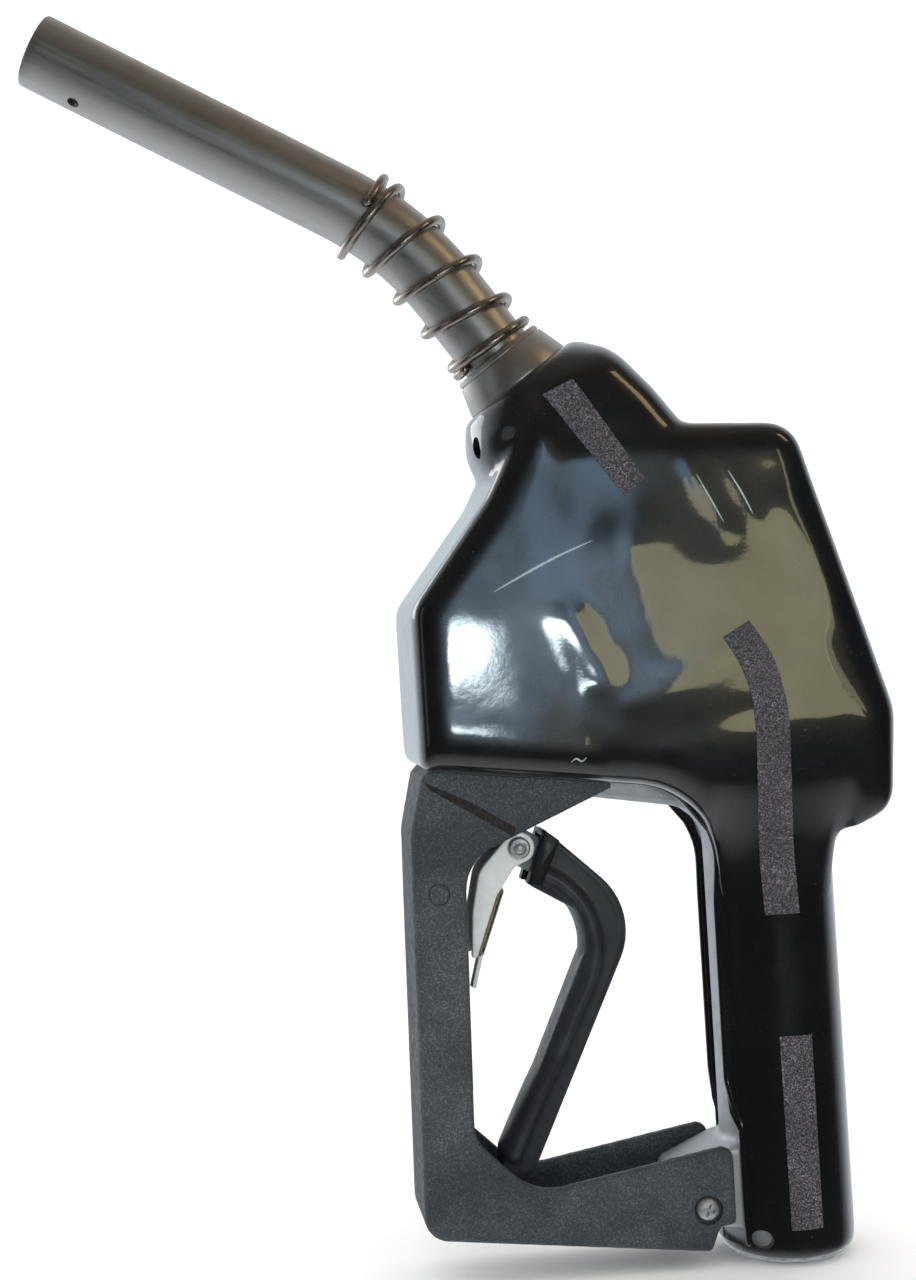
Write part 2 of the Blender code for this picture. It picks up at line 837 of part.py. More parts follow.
def hold_open_clip():
    rx, rz = RIVET
    clip = plate(
        "hold_open_clip",
        rounded(
            arc(RIVET, 4.5, 140.0, -50.0, 10)
            + [
                (rx - 3.0, rz - 6.4, 4.0),
                (-76.6, 105.0, 6.0),
                (-82.6, 88.2, 0.8),
                (-85.9, 88.6, 0.8),
                (-85.0, 101.5, 6.0),
                (-82.4, 113.0, 8.0),
            ],
            4,
        ),
        CLIP_HALF_WIDTH,
        "plated_steel",
    )
    hollow = plate(
        "clip_hollow",
        [
            (rx - 12.0, rz + 8.0),
            (rx + 8.0, rz + 8.0),
            (rx + 8.0, rz - 5.4),
            (rx - 4.4, rz - 5.4),
            (-77.9, 105.4),
            (-83.9, 88.9),
            (-84.6, 84.0),
            (-91.0, 84.0),
        ],
        CLIP_HALF_WIDTH - 1.2,
    )
    tongue = plate(
        "clip_tongue",
        [(-81.0, 92.6), (-82.2, 92.9), (-85.8, 79.8), (-84.6, 79.4)],
        2.2,
    )
    hole = cylinder("clip_rivet_hole", (rx, -9.0, rz), (rx, 9.0, rz), 1.9, sides=20)
    cut(clip, hollow, hole)
    join(clip, tongue)


def clip_rivet():
    rx, rz = RIVET
    turned(
        "clip_rivet",
        (rx, 0.0, rz),
        ACROSS,
        [(0.0, 7.9), (2.2, 7.8), (3.2, 6.7), (1.6, 6.7), (1.6, -6.7), (3.2, -6.7), (2.2, -7.8),
         (0.0, -7.9)],
        "plated_steel",
        sides=20,
    )


def clip_spring():
    rx, rz = RIVET
    start = Vector((rx, 3.0, rz))
    end = Vector((rx, 4.4, rz))

    def centre_of(share):
        return start.lerp(end, share), Vector((1.0, 0.0, 0.0)), Vector((0.0, 0.0, 1.0))

    points = coil(centre_of, 1.5, 2.7, 10)
    points.append(Vector((rx - 8.4, 4.4, rz - 11.6)))
    wire("clip_spring", points, 0.35, "spring_steel", 1)


# ---------------------------------------------------------------- lever guard

def lever_guard():
    guard = plate(
        "lever_guard",
        rounded([
            (-95.4, 144.2, 0.0),
            (-95.6, 142.3, 0.0),
            (-97.8, 140.6, 0.0),
            (-101.6, 125.0, 5.0),
            (-102.2, 105.0, 0.0),
            (-104.4, 13.2, 6.5),
            (-25.2, 3.9, 0.0),
            (-22.4, 10.6, 0.0),
            (-17.8, 11.4, 0.0),
            (-17.6, 33.4, 3.0),
            (-73.0, 24.0, 15.0),
            (-89.2, 39.7, 10.0),
            (-87.0, 117.0, 13.0),
            (-45.4, 134.4, 0.0),
            (-45.4, 138.0, 0.0),
        ]),
        GUARD_HALF_WIDTH,
        "guard_plastic",
        rim=1.2,
        rim_steps=0,
    )
    channel = plate(
        "guard_channel",
        rounded([
            (-92.4, 152.0, 0.0),
            (-92.4, 141.0, 0.0),
            (-98.5, 124.6, 4.0),
            (-99.2, 105.0, 0.0),
            (-101.2, 16.0, 6.0),
            (-27.0, 7.4, 0.0),
            (-7.0, 7.4, 0.0),
            (-7.0, 70.0, 0.0),
            (-39.0, 152.0, 0.0),
        ]),
        CHANNEL_HALF_WIDTH,
    )
    sx, sz = GUARD_SCREW
    cut(
        guard,
        channel,
        cylinder("guard_screw_recess", (sx, -18.0, sz), (sx, -13.4, sz), 4.1, sides=24),
        cylinder("guard_screw_hole", (sx, -18.0, sz), (sx, 18.0, sz), 2.3, sides=20),
        cylinder("guard_nut_recess", (sx, 13.2, sz), (sx, 18.0, sz), 4.4, sides=6),
    )
    tongue = block("guard_tongue", (-95.0, -6.0, 142.0), (-92.9, 6.0, 145.4))
    join(guard, tongue)
    for index in range(3):
        height = 84.0 + 5.5 * index
        name = "guard_notch_%d" % (index + 1)
        step = plate(
            name,
            [(-102.0, height), (-98.0, height), (-99.4, height + 3.4), (-102.0, height + 3.4)],
            5.0,
        )
        join(guard, step)


def guard_fasteners():
    sx, sz = GUARD_SCREW
    screw = turned(
        "guard_screw",
        (sx, 0.0, sz),
        -ACROSS,
        [(0.0, 15.3), (1.8, 15.2), (3.0, 14.4), (3.2, 13.7), (2.0, 13.7), (2.0, -15.4), (0.0, -15.6)],
        "plated_steel",
        sides=24,
    )
    drives = []
    for index in range(2):
        size = (3.6, 0.8) if index else (0.8, 3.6)
        name = "screw_drive_cutter_%d" % (index + 1)
        low = (sx - size[0] / 2.0, -17.0, sz - size[1] / 2.0)
        high = (sx + size[0] / 2.0, -14.1, sz + size[1] / 2.0)
        drives.append(block(name, low, high))
    cut(screw, *drives)
    nut = cylinder("guard_nut", (sx, 13.5, sz), (sx, 15.8, sz), 4.0, "plated_steel", sides=6)
    cut(nut, cylinder("guard_nut_bore", (sx, 12.0, sz), (sx, 18.0, sz), 2.3, sides=20))


# ---------------------------------------------------------------- build

hand_insulator()
body_casting()
spout_tube()
spout_spring()
spout_collar()
spout_adapter()
o_ring("adapter_o_ring", nose(-5.5), NOSE_DIRECTION, 12.65, 0.7)
vent_tube()
check_valve()
main_valve()
trip_plunger()
latch()
lever_pin()
lever_core()
lever_grip()
hold_open_clip()
clip_rivet()
clip_spring()
lever_guard()
guard_fasteners()
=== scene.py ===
"""The looks of the fuel nozzle: finer shells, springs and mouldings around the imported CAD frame.

Lengths are millimetres in the part's own frame (+Z up the handle, -X towards the spout, the plane of
symmetry at y = 0) until MM turns them into metres.
"""
import json
import math

import bmesh
import bpy
from mathutils import Matrix, Vector, noise
from mathutils.bvhtree import BVHTree


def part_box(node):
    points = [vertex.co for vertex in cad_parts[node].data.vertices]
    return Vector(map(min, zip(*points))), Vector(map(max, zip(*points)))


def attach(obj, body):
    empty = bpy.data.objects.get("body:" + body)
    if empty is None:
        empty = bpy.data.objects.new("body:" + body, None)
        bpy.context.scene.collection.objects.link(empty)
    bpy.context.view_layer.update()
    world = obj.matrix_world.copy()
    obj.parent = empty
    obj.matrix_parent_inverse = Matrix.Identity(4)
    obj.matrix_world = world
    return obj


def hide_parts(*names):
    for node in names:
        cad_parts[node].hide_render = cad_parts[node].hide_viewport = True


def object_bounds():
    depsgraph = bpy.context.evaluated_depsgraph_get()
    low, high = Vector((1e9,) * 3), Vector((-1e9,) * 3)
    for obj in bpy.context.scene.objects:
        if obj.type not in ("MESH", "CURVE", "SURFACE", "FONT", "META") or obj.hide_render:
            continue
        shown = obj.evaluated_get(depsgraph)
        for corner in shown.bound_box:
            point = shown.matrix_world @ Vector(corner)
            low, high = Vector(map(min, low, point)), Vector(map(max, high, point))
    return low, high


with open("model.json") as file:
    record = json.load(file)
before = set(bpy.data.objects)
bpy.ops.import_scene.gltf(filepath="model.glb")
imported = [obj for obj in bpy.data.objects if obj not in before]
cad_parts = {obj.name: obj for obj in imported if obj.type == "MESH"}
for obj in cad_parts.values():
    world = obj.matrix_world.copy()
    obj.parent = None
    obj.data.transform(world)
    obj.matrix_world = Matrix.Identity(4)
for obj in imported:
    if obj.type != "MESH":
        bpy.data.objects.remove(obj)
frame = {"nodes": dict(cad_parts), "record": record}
CAD_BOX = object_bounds()

MM = 0.001
WELD = 0.01 * MM
ACROSS = Vector((0.0, 1.0, 0.0))
UP = Vector((0.0, 0.0, 1.0))


def low(node):
    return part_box(node)[0] / MM


def high(node):
    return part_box(node)[1] / MM


def centre_of(node):
    """The (x, z) centre of a CAD piece."""
    middle = (low(node) + high(node)) / 2.0
    return middle.x, middle.z


# Driving sizes, read from the frame where a CAD piece gives them.
BODY_HALF_WIDTH = high("hand_insulator").y
BODY_LEFT = low("hand_insulator").x
BODY_RIM = 7.5
NECK_BOTTOM = 90.0
NECK_TOP = 140.0
NECK_REACH = 22.0
HANDLE_RADIUS = 19.0
HANDLE_BOTTOM = low("hand_insulator").z
SKIN_WALL = 1.8
SKIN_VOXEL = 1.3
SPOUT_RADIUS = 10.32
SPOUT_WALL = 1.5
SPOUT_LEG = 32.0
SPOUT_STRAIGHT = 94.0
BEND_RADIUS = 93.0
NOSE_ANGLE = 55.0
TIP_ANGLE = 29.6
NOSE_POINT = (-61.6, 249.2)
SPRING_WIRE = 1.35
SPRING_RADIUS = 12.1
SPRING_PITCH = 13.7
SPRING_TURNS = 5.8
SPRING_CLOSE = 4.9
SPRING_START = 11.9
GUARD_HALF_WIDTH = high("lever_guard").y
CHANNEL_HALF_WIDTH = 11.7
LEVER_HALF_WIDTH = high("lever_grip").y
CORE_ROOM_HALF_WIDTH = 4.3
CLIP_HALF_WIDTH = high("hold_open_clip").y
RIVET = centre_of("clip_rivet")
SCREW = centre_of("guard_screw")


# ---------------------------------------------------------------- geometry helpers

def smoothstep(start, end, value):
    share = min(max((value - start) / (end - start), 0.0), 1.0)
    return share * share * (3.0 - 2.0 * share)


def direction(angle):
    return Vector((math.cos(math.radians(angle)), 0.0, math.sin(math.radians(angle))))


def added(name, data):
    """A new object in the scene."""
    obj = bpy.data.objects.new(name, data)
    bpy.context.scene.collection.objects.link(obj)
    return obj


def mesh_object(name, points, faces):
    mesh = bpy.data.meshes.new(name)
    mesh.from_pydata([Vector(point) * MM for point in points], [], faces)
    return added(name, mesh)


def strips(rows, sides, closed=False):
    """The faces between rings of `sides` corners each; a closed run joins the last ring to the first."""
    faces = []
    for row in range(rows if closed else rows - 1):
        here = row * sides
        there = ((row + 1) % rows) * sides
        for side in range(sides):
            following = (side + 1) % sides
            faces.append((here + side, here + following, there + following, there + side))
    if not closed:
        faces.append(tuple(range(sides)))
        faces.append(tuple(reversed(range((rows - 1) * sides, rows * sides))))
    return faces


def tidy(obj, angle=35.0):
    """Weld, face the normals out and shade smooth up to an angle."""
    bm = bmesh.new()
    bm.from_mesh(obj.data)
    bmesh.ops.remove_doubles(bm, verts=bm.verts, dist=WELD)
    bmesh.ops.dissolve_degenerate(bm, edges=bm.edges, dist=WELD / 10.0)
    bmesh.ops.recalc_face_normals(bm, faces=bm.faces)
    bm.to_mesh(obj.data)
    bm.free()
    obj.data.shade_smooth()
    obj.data.set_sharp_from_angle(angle=math.radians(angle))
    return obj


def evaluated_mesh(obj):
    bpy.context.view_layer.update()
    graph = bpy.context.evaluated_depsgraph_get()
    return bpy.data.meshes.new_from_object(obj.evaluated_get(graph))


def apply_modifiers(obj):
    mesh = evaluated_mesh(obj)
    world = obj.matrix_world.copy()
    obj.modifiers.clear()
    obj.data = mesh
    mesh.transform(world)
    obj.matrix_world = Matrix.Identity(4)
    return obj


def remove(*objects):
    for obj in objects:
        bpy.data.objects.remove(obj, do_unlink=True)


def boolean(target, operation, *tools):
    """Apply one Boolean after another and drop the tools."""
    for tool in tools:
        step = target.modifiers.new("step", "BOOLEAN")
        step.operation = operation
        step.object = tool
        apply_modifiers(target)
    remove(*tools)
    return target


def merged(name, objects):
    """One mesh from several, before a voxel remesh makes them one body."""
    bm = bmesh.new()
    for obj in objects:
        piece = bmesh.new()
        piece.from_mesh(obj.data)
        piece.transform(obj.matrix_world)
        scratch = bpy.data.meshes.new("scratch")
        piece.to_mesh(scratch)
        piece.free()
        bm.from_mesh(scratch)
        bpy.data.meshes.remove(scratch)
    mesh = bpy.data.meshes.new(name)
    bm.to_mesh(mesh)
    bm.free()
    remove(*objects)
    return added(name, mesh)


def remeshed(obj, voxel, smoothing, factor=0.5):
    remesh = obj.modifiers.new("remesh", "REMESH")
    remesh.mode = "VOXEL"
    remesh.voxel_size = voxel * MM
    smooth = obj.modifiers.new("smooth", "SMOOTH")
    smooth.factor = factor
    smooth.iterations = smoothing
    apply_modifiers(obj)
    obj.data.shade_smooth()
    return obj


def rounded(corners, steps=10):
    """Turn (x, z, radius) corners into an outline whose corners are arcs."""
    points = []
    count = len(corners)
    for index in range(count):
        x, z, radius = corners[index]
        here = Vector((x, z))
        if radius <= 0.0:
            points.append(here)
            continue
        before = (Vector(corners[index - 1][:2]) - here).normalized()
        after = (Vector(corners[(index + 1) % count][:2]) - here).normalized()
        half = before.angle(after) / 2.0
        centre = here + (before + after).normalized() * (radius / math.sin(half))
        start = here + before * (radius / math.tan(half)) - centre
        sweep = math.pi - 2.0 * half
        turn = 1.0 if before.x * after.y - before.y * after.x < 0.0 else -1.0
        for step in range(steps + 1):
            angle = turn * sweep * step / steps
            points.append(centre + Matrix.Rotation(angle, 2) @ start)
    return points


def arc(centre, radius, start, end, steps=16):
    points = []
    for step in range(steps + 1):
        spot = direction(start + (end - start) * step / steps) * radius
        points.append((centre[0] + spot.x, centre[1] + spot.z, 0.0))
    return points


def plate(name, outline, half_width, rim=0.0, rim_steps=4, centre=0.0):
    """A flat piece along the plane of symmetry, its rim rounded over."""
    curve = bpy.data.curves.new(name, "CURVE")
    curve.dimensions = "2D"
    curve.fill_mode = "BOTH"
    curve.extrude = (half_width - rim) * MM
    curve.bevel_depth = rim * MM
    curve.bevel_resolution = rim_steps
    curve.offset = -rim * MM
    spline = curve.splines.new("POLY")
    spline.points.add(len(outline) - 1)
    for target, point in zip(spline.points, outline):
        target.co = (point[0] * MM, point[1] * MM, 0.0, 1.0)
    spline.use_cyclic_u = True
    flat = added(name + "_curve", curve)
    flat.matrix_world = Matrix.Translation((0.0, centre * MM, 0.0)) @ Matrix.Rotation(math.pi / 2.0, 4, "X")
    mesh = evaluated_mesh(flat)
    mesh.transform(flat.matrix_world)
    remove(flat)
    return tidy(added(name, mesh))


def revolve(name, rows, frame_at, sides=64, ring=False):
    """A surface about a straight or bent axis; rows are (distance, radius).

    A row's third number squares its circle: 2 is round, and 4 nearly a rounded square.
    """
    points = []
    for distance, radius, *square in rows:
        centre, first, second = frame_at(distance)
        power = square[0] if square else 2.0
        for side in range(sides):
            angle = 2.0 * math.pi * side / sides
            across = math.cos(angle)
            upward = math.sin(angle)
            reach = radius / (abs(across) ** power + abs(upward) ** power) ** (1.0 / power)
            points.append(centre + (first * across + second * upward) * reach)
    return tidy(mesh_object(name, points, strips(len(rows), sides, ring)))


def straight(start, along):
    start = Vector(start)
    along = Vector(along).normalized()
    first = along.orthogonal().normalized()
    second = along.cross(first)
    return lambda distance: (start + along * distance, first, second)


def rod(name, start, end, radius, sides=48):
    start = Vector(start)
    end = Vector(end)
    length = (end - start).length
    return revolve(name, [(0.0, radius), (length, radius)], straight(start, end - start), sides)


def tube(name, points, radius, sides=14, flatten=1.0, slim=None, wide=False):
    """A round or oval wire through points, its ends domed.

    `flatten` scales it across y, and `slim` gives a factor on the radius for a share of its length;
    a `wide` one keeps its full width across y.
    """
    points = [Vector(point) for point in points]
    rings = []
    normal = None
    for index, point in enumerate(points):
        ahead = points[min(index + 1, len(points) - 1)]
        behind = points[max(index - 1, 0)]
        along = (ahead - behind).normalized()
        normal = along.orthogonal() if normal is None else normal - along * normal.dot(along)
        normal.normalize()
        rings.append((point, along, normal.copy(), along.cross(normal)))
    sizes = [slim(index / (len(rings) - 1)) if slim else 1.0 for index in range(len(rings))]
    shells = [(point, first, second, size, 1.0) for (point, _, first, second), size in zip(rings, sizes)]
    for (point, along, first, second), size, outward in (
        (rings[0], sizes[0], -1.0),
        (rings[-1], sizes[-1], 1.0),
    ):
        for share in (0.45, 0.8, 0.98):
            place = point + along * (outward * radius * size * share)
            shell = (place, first, second, size, math.sqrt(1.0 - share * share))
            shells.insert(len(shells) if outward > 0.0 else 0, shell)
    corners = []
    for point, first, second, size, dome in shells:
        widen = flatten if wide else flatten * size
        for side in range(sides):
            angle = 2.0 * math.pi * side / sides
            spoke = (first * math.cos(angle) + second * math.sin(angle)) * radius * dome
            corners.append(point + Vector((spoke.x * size, spoke.y * widen, spoke.z * size)))
    return tidy(mesh_object(name, corners, strips(len(shells), sides)), 50.0)


def in_plane(corners, count):
    """Evenly spread points, on the plane of symmetry, along a line of (x, z) corners."""
    path = [along_edge(corners, index / count) for index in range(count + 1)]
    return [(spot.x, 0.0, spot.y) for spot in path]


def loft(name, stations):
    """A closed channel cutter; each station is (outer (x, z), inner (x, z), half width)."""
    points = []
    for outer, inner, half in stations:
        for corner, across in ((outer, -half), (outer, half), (inner, half), (inner, -half)):
            points.append((corner[0], across, corner[1]))
    return tidy(mesh_object(name, points, strips(len(stations), 4)))


def block(name, low_corner, high_corner):
    mesh = bpy.data.meshes.new(name)
    bm = bmesh.new()
    size = (Vector(high_corner) - Vector(low_corner)) * MM
    centre = (Vector(high_corner) + Vector(low_corner)) * MM / 2.0
    place = Matrix.Translation(centre) @ Matrix.Diagonal((*size, 1.0))
    bmesh.ops.create_cube(bm, size=1.0, matrix=place)
    bm.to_mesh(mesh)
    bm.free()
    return added(name, mesh)


def surface_of(obj):
    """A lookup that finds where a straight line, in millimetres, first meets an object's mesh."""
    bm = bmesh.new()
    bm.from_mesh(obj.data)
    tree = BVHTree.FromBMesh(bm)
    bm.free()

    def hit(origin, towards):
        spot, normal, _, _ = tree.ray_cast(Vector(origin) * MM, Vector(towards).normalized())
        return (spot / MM, normal) if spot else (None, None)

    return hit


def new_node(tree, kind, **settings):
    made = tree.nodes.new(kind)
    for key, value in settings.items():
        setattr(made, key, value)
    return made


def finish_piece(obj, finish, slot, body, *nodes):
    if not obj.data.materials:
        obj.data.materials.append(finish)
    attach(obj, body)
    if nodes:
        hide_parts(*nodes)
    return obj


# ---------------------------------------------------------------- materials

class Finish:
    """A Principled material whose variation comes from noise in the object's own space, in millimetres."""

    def __init__(self, name, colour, roughness, metallic=0.0, **plain):
        self.material = bpy.data.materials.new(name)
        self.material.use_nodes = True
        self.tree = self.material.node_tree
        self.shader = self.tree.nodes["Principled BSDF"]
        self.shader.inputs["Base Color"].default_value = (*colour, 1.0)
        self.shader.inputs["Roughness"].default_value = roughness
        self.shader.inputs["Metallic"].default_value = metallic
        for socket, value in plain.items():
            self.shader.inputs[socket.replace("_", " ")].default_value = value
        self.space = self.node("ShaderNodeTexCoord").outputs["Object"]
        self.heights = []

    def node(self, kind, **settings):
        return new_node(self.tree, kind, **settings)

    def link(self, output, socket):
        self.tree.links.new(output, socket)

    def scaled(self, size, stretch, turn):
        mapping = self.node("ShaderNodeMapping")
        mapping.vector_type = "TEXTURE"
        mapping.inputs["Rotation"].default_value = turn
        mapping.inputs["Scale"].default_value = [size * MM * share for share in stretch]
        self.link(self.space, mapping.inputs["Vector"])
        return mapping.outputs["Vector"]

    def noise(self, size, detail=3.0, stretch=(1.0, 1.0, 1.0), turn=(0.0, 0.0, 0.0), roughness=0.55):
        made = self.node("ShaderNodeTexNoise")
        made.inputs["Scale"].default_value = 1.0
        made.inputs["Detail"].default_value = detail
        made.inputs["Roughness"].default_value = roughness
        self.link(self.scaled(size, stretch, turn), made.inputs["Vector"])
        return made.outputs["Fac"]

    def cells(self, size):
        made = self.node("ShaderNodeTexVoronoi", feature="F1")
        made.inputs["Scale"].default_value = 1.0
        self.link(self.scaled(size, (1.0, 1.0, 1.0), (0.0, 0.0, 0.0)), made.inputs["Vector"])
        return made.outputs["Distance"]

    def edges(self, start, end):
        pointed = self.node("ShaderNodeNewGeometry").outputs["Pointiness"]
        return self.range(pointed, start, end, 0.0, 1.0)

    def range(self, value, from_low, from_high, to_low, to_high):
        made = self.node("ShaderNodeMapRange")
        self.link(value, made.inputs["Value"])
        for socket, number in zip(("From Min", "From Max", "To Min", "To Max"),
                                  (from_low, from_high, to_low, to_high)):
            made.inputs[socket].default_value = number
        return made.outputs["Result"]

    def product(self, first, second):
        made = self.node("ShaderNodeMath", operation="MULTIPLY")
        self.link(first, made.inputs[0])
        self.link(second, made.inputs[1])
        return made.outputs["Value"]

    def blend(self, share, first, second):
        """Mix two colours, each three numbers or an output."""
        made = self.node("ShaderNodeMix", data_type="RGBA")
        self.link(share, made.inputs[0])
        for socket, colour in ((made.inputs[6], first), (made.inputs[7], second)):
            if isinstance(colour, tuple):
                socket.default_value = (*colour, 1.0)
            else:
                self.link(colour, socket)
        return made.outputs[2]

    def colour(self, output):
        self.link(output, self.shader.inputs["Base Color"])

    def roughness(self, output):
        self.link(output, self.shader.inputs["Roughness"])

    def bump(self, height, depth, strength):
        """Stack a bump of this depth in millimetres on those before it."""
        made = self.node("ShaderNodeBump")
        made.inputs["Strength"].default_value = strength
        made.inputs["Distance"].default_value = depth * MM
        self.link(height, made.inputs["Height"])
        if self.heights:
            self.link(self.heights[-1], made.inputs["Normal"])
        self.heights.append(made.outputs["Normal"])
        self.link(made.outputs["Normal"], self.shader.inputs["Normal"])


def vinyl_finish():
    coat = {"Coat_Weight": 1.0, "Coat_Roughness": 0.04}
    f = Finish("black_vinyl", (0.006, 0.007, 0.009), 0.26, Specular_IOR_Level=0.36, **coat)
    haze = f.noise(34.0, 4.0)
    specks = f.range(f.noise(0.9, 2.0), 0.70, 0.76, 0.0, 1.0)
    dusty = f.product(specks, f.range(f.noise(30.0, 2.0), 0.45, 0.7, 0.0, 1.0))
    base = f.blend(haze, (0.002, 0.0025, 0.0035), (0.006, 0.0065, 0.007))
    f.colour(f.blend(dusty, base, (0.06, 0.066, 0.072)))
    f.roughness(f.range(f.noise(11.0, 5.0), 0.3, 0.75, 0.2, 0.34))
    f.bump(f.noise(5.0, 3.0), 0.02, 0.5)
    f.bump(f.noise(0.8, 3.0), 0.003, 0.6)
    f.link(f.heights[-1], f.shader.inputs["Coat Normal"])
    return f.material


def grained_finish(name, dark, light, size, depth, low_rough, high_rough):
    """Moulded plastic with a fine sparkling grain of raised cells, whose tops are painted lighter: a
    painted sparkle highlight.
    """
    f = Finish(name, dark, high_rough)
    grain = f.noise(size, 3.0, roughness=0.7)
    tops = f.range(grain, 0.48, 0.72, 0.0, 1.0)
    patches = f.noise(14.0, 3.0)
    # painted highlight: the grain's raised tops are coloured lighter, standing in for light sparkling on
    # them, in random patches
    painted_sparkle = f.product(tops, f.range(patches, 0.3, 0.7, 0.35, 1.0))
    f.colour(f.blend(painted_sparkle, dark, light))
    f.roughness(f.range(f.noise(size * 2.2, 3.0), 0.3, 0.7, low_rough, high_rough))
    f.bump(f.noise(size, 3.0, roughness=0.7), depth, 0.9)
    f.bump(f.cells(size * 1.6), depth * 0.8, 0.6)
    return f.material


def guard_finish():
    f = Finish("guard_nylon", (0.04, 0.042, 0.046), 0.5, Specular_IOR_Level=0.2)
    grain = f.noise(0.55, 4.0, roughness=0.75)
    tops = f.range(grain, 0.5, 0.68, 0.0, 1.0)
    patches = f.range(f.noise(22.0, 3.0), 0.35, 0.65, 0.35, 1.0)
    base = f.blend(patches, (0.02, 0.025, 0.031), (0.042, 0.052, 0.06))
    # painted highlight: the grain's raised tops are coloured pale, standing in for sparkle, over the
    # nylon's own mottled tone
    mottle_and_sparkle = f.blend(f.product(tops, patches), base, (0.13, 0.148, 0.165))
    # painted shade: convex rounded edges are coloured near black, standing in for the dark that falls on
    # the guard's rims
    f.colour(f.blend(f.edges(0.53, 0.62), mottle_and_sparkle, (0.012, 0.012, 0.014)))
    f.roughness(f.range(f.noise(2.0, 3.0), 0.3, 0.7, 0.34, 0.6))
    f.bump(grain, 0.2, 1.0)
    f.bump(f.cells(1.3), 0.12, 0.7)
    return f.material


def lever_finish(name, dark, light, specular):
    f = Finish(name, dark, 0.36, Specular_IOR_Level=specular, Coat_Weight=0.05, Coat_Roughness=0.2)
    wear = f.noise(9.0, 5.0)
    rubbed = f.product(f.edges(0.51, 0.58), f.range(wear, 0.4, 0.62, 0.0, 1.0))
    base = f.blend(wear, dark, light)
    f.colour(f.blend(rubbed, base, tuple(2.6 * channel for channel in light)))
    f.roughness(f.range(f.noise(3.0, 5.0), 0.3, 0.7, 0.26, 0.48))
    f.bump(f.noise(0.6, 3.0), 0.02, 0.6)
    f.bump(f.noise(6.0, 2.0), 0.06, 0.4)
    return f.material


def drawn_metal_finish():
    f = Finish("drawn_spout_metal", (0.5, 0.48, 0.45), 0.42, 1.0)
    along = (0.0, math.radians(TIP_ANGLE), 0.0)
    lines = f.noise(0.35, 4.0, (45.0, 1.0, 1.0), along, 0.65)
    stains = f.noise(16.0, 5.0)
    base = f.blend(lines, (0.47, 0.45, 0.42), (0.6, 0.58, 0.55))
    f.colour(f.blend(f.range(stains, 0.5, 0.72, 0.0, 0.6), base, (0.42, 0.37, 0.32)))
    f.roughness(f.range(f.noise(1.1, 4.0, (20.0, 1.0, 1.0), along), 0.3, 0.7, 0.36, 0.48))
    f.bump(lines, 0.006, 0.8)
    f.bump(f.noise(0.5, 3.0), 0.004, 0.6)
    return f.material


def plain_finish(name, dark, light, cloud, rough, grain, metallic=0.0, **more):
    """Two tones and a roughness that drift, with a fine bump.

    `cloud` is the tones' (size, detail) and may add a stretch, `rough` the roughness's
    (size, lowest, highest), and `grain` the bump's (size, depth, strength).
    """
    f = Finish(name, dark, rough[2], metallic, **more)
    f.colour(f.blend(f.noise(*cloud), dark, light))
    f.roughness(f.range(f.noise(rough[0], 4.0), 0.3, 0.7, *rough[1:]))
    f.bump(f.noise(grain[0], 3.0), *grain[1:])
    return f.material


def zinc_finish(name, metal):
    """Zinc plate; the less `metal`, the more of its passivate's own pale grey shows."""
    f = Finish(name, (0.66, 0.67, 0.64), 0.34, metal)
    cloud = f.noise(4.0, 5.0)
    base = f.blend(cloud, (0.6, 0.63, 0.63), (0.84, 0.87, 0.86))
    f.colour(f.blend(f.range(f.noise(9.0, 4.0), 0.55, 0.75, 0.0, 0.4), base, (0.62, 0.56, 0.44)))
    f.roughness(f.range(f.noise(1.6, 5.0), 0.3, 0.7, 0.38, 0.6))
    f.bump(f.noise(0.5, 4.0), 0.02, 0.7)
    f.bump(f.noise(0.7, 2.0, (14.0, 1.0, 1.0)), 0.008, 0.6)
    return f.material


def cast_finish():
    f = Finish("cast_aluminium", (0.52, 0.52, 0.5), 0.5, 0.7)
    sand = f.noise(0.8, 5.0, roughness=0.7)
    base = f.blend(f.noise(12.0, 4.0), (0.38, 0.4, 0.42), (0.54, 0.57, 0.6))
    f.colour(f.blend(f.range(sand, 0.55, 0.8, 0.0, 0.6), base, (0.3, 0.3, 0.29)))
    f.roughness(f.range(f.noise(2.0, 4.0), 0.3, 0.7, 0.4, 0.62))
    f.bump(sand, 0.08, 0.8)
    return f.material


FINISHES = {
    "vinyl": vinyl_finish(),
    "casting": cast_finish(),
    "spout": drawn_metal_finish(),
    "spring": plain_finish(
        "spring_wire", (0.27, 0.235, 0.21), (0.55, 0.49, 0.42), (7.0, 4.0), (1.4, 0.18, 0.38),
        (0.35, 0.006, 0.7), 1.0,
    ),
    "steel": zinc_finish("zinc_plate", 0.45),
    "guard": guard_finish(),
    "lever": lever_finish("lever_nylon", (0.008, 0.0095, 0.013), (0.024, 0.028, 0.034), 0.36),
    "brass": plain_finish(
        "turned_brass", (0.55, 0.38, 0.16), (0.8, 0.62, 0.33), (5.0, 4.0), (1.5, 0.2, 0.42),
        (0.4, 0.008, 0.6), 1.0,
    ),
    "rubber": plain_finish(
        "fuel_rubber", (0.012, 0.012, 0.013), (0.04, 0.04, 0.042), (3.0, 4.0), (2.0, 0.5, 0.8),
        (0.4, 0.02, 0.6),
    ),
    "acetal": plain_finish(
        "natural_acetal", (0.7, 0.67, 0.6), (0.84, 0.82, 0.76), (4.0, 4.0), (2.0, 0.3, 0.5),
        (0.6, 0.01, 0.6), Subsurface_Weight=0.1,
    ),
}
BRIGHT = zinc_finish("bright_zinc", 0.95)
STRIPE = grained_finish("stripe_grain", (0.022, 0.02, 0.026), (0.3, 0.28, 0.33), 0.5, 0.2, 0.3, 0.55)
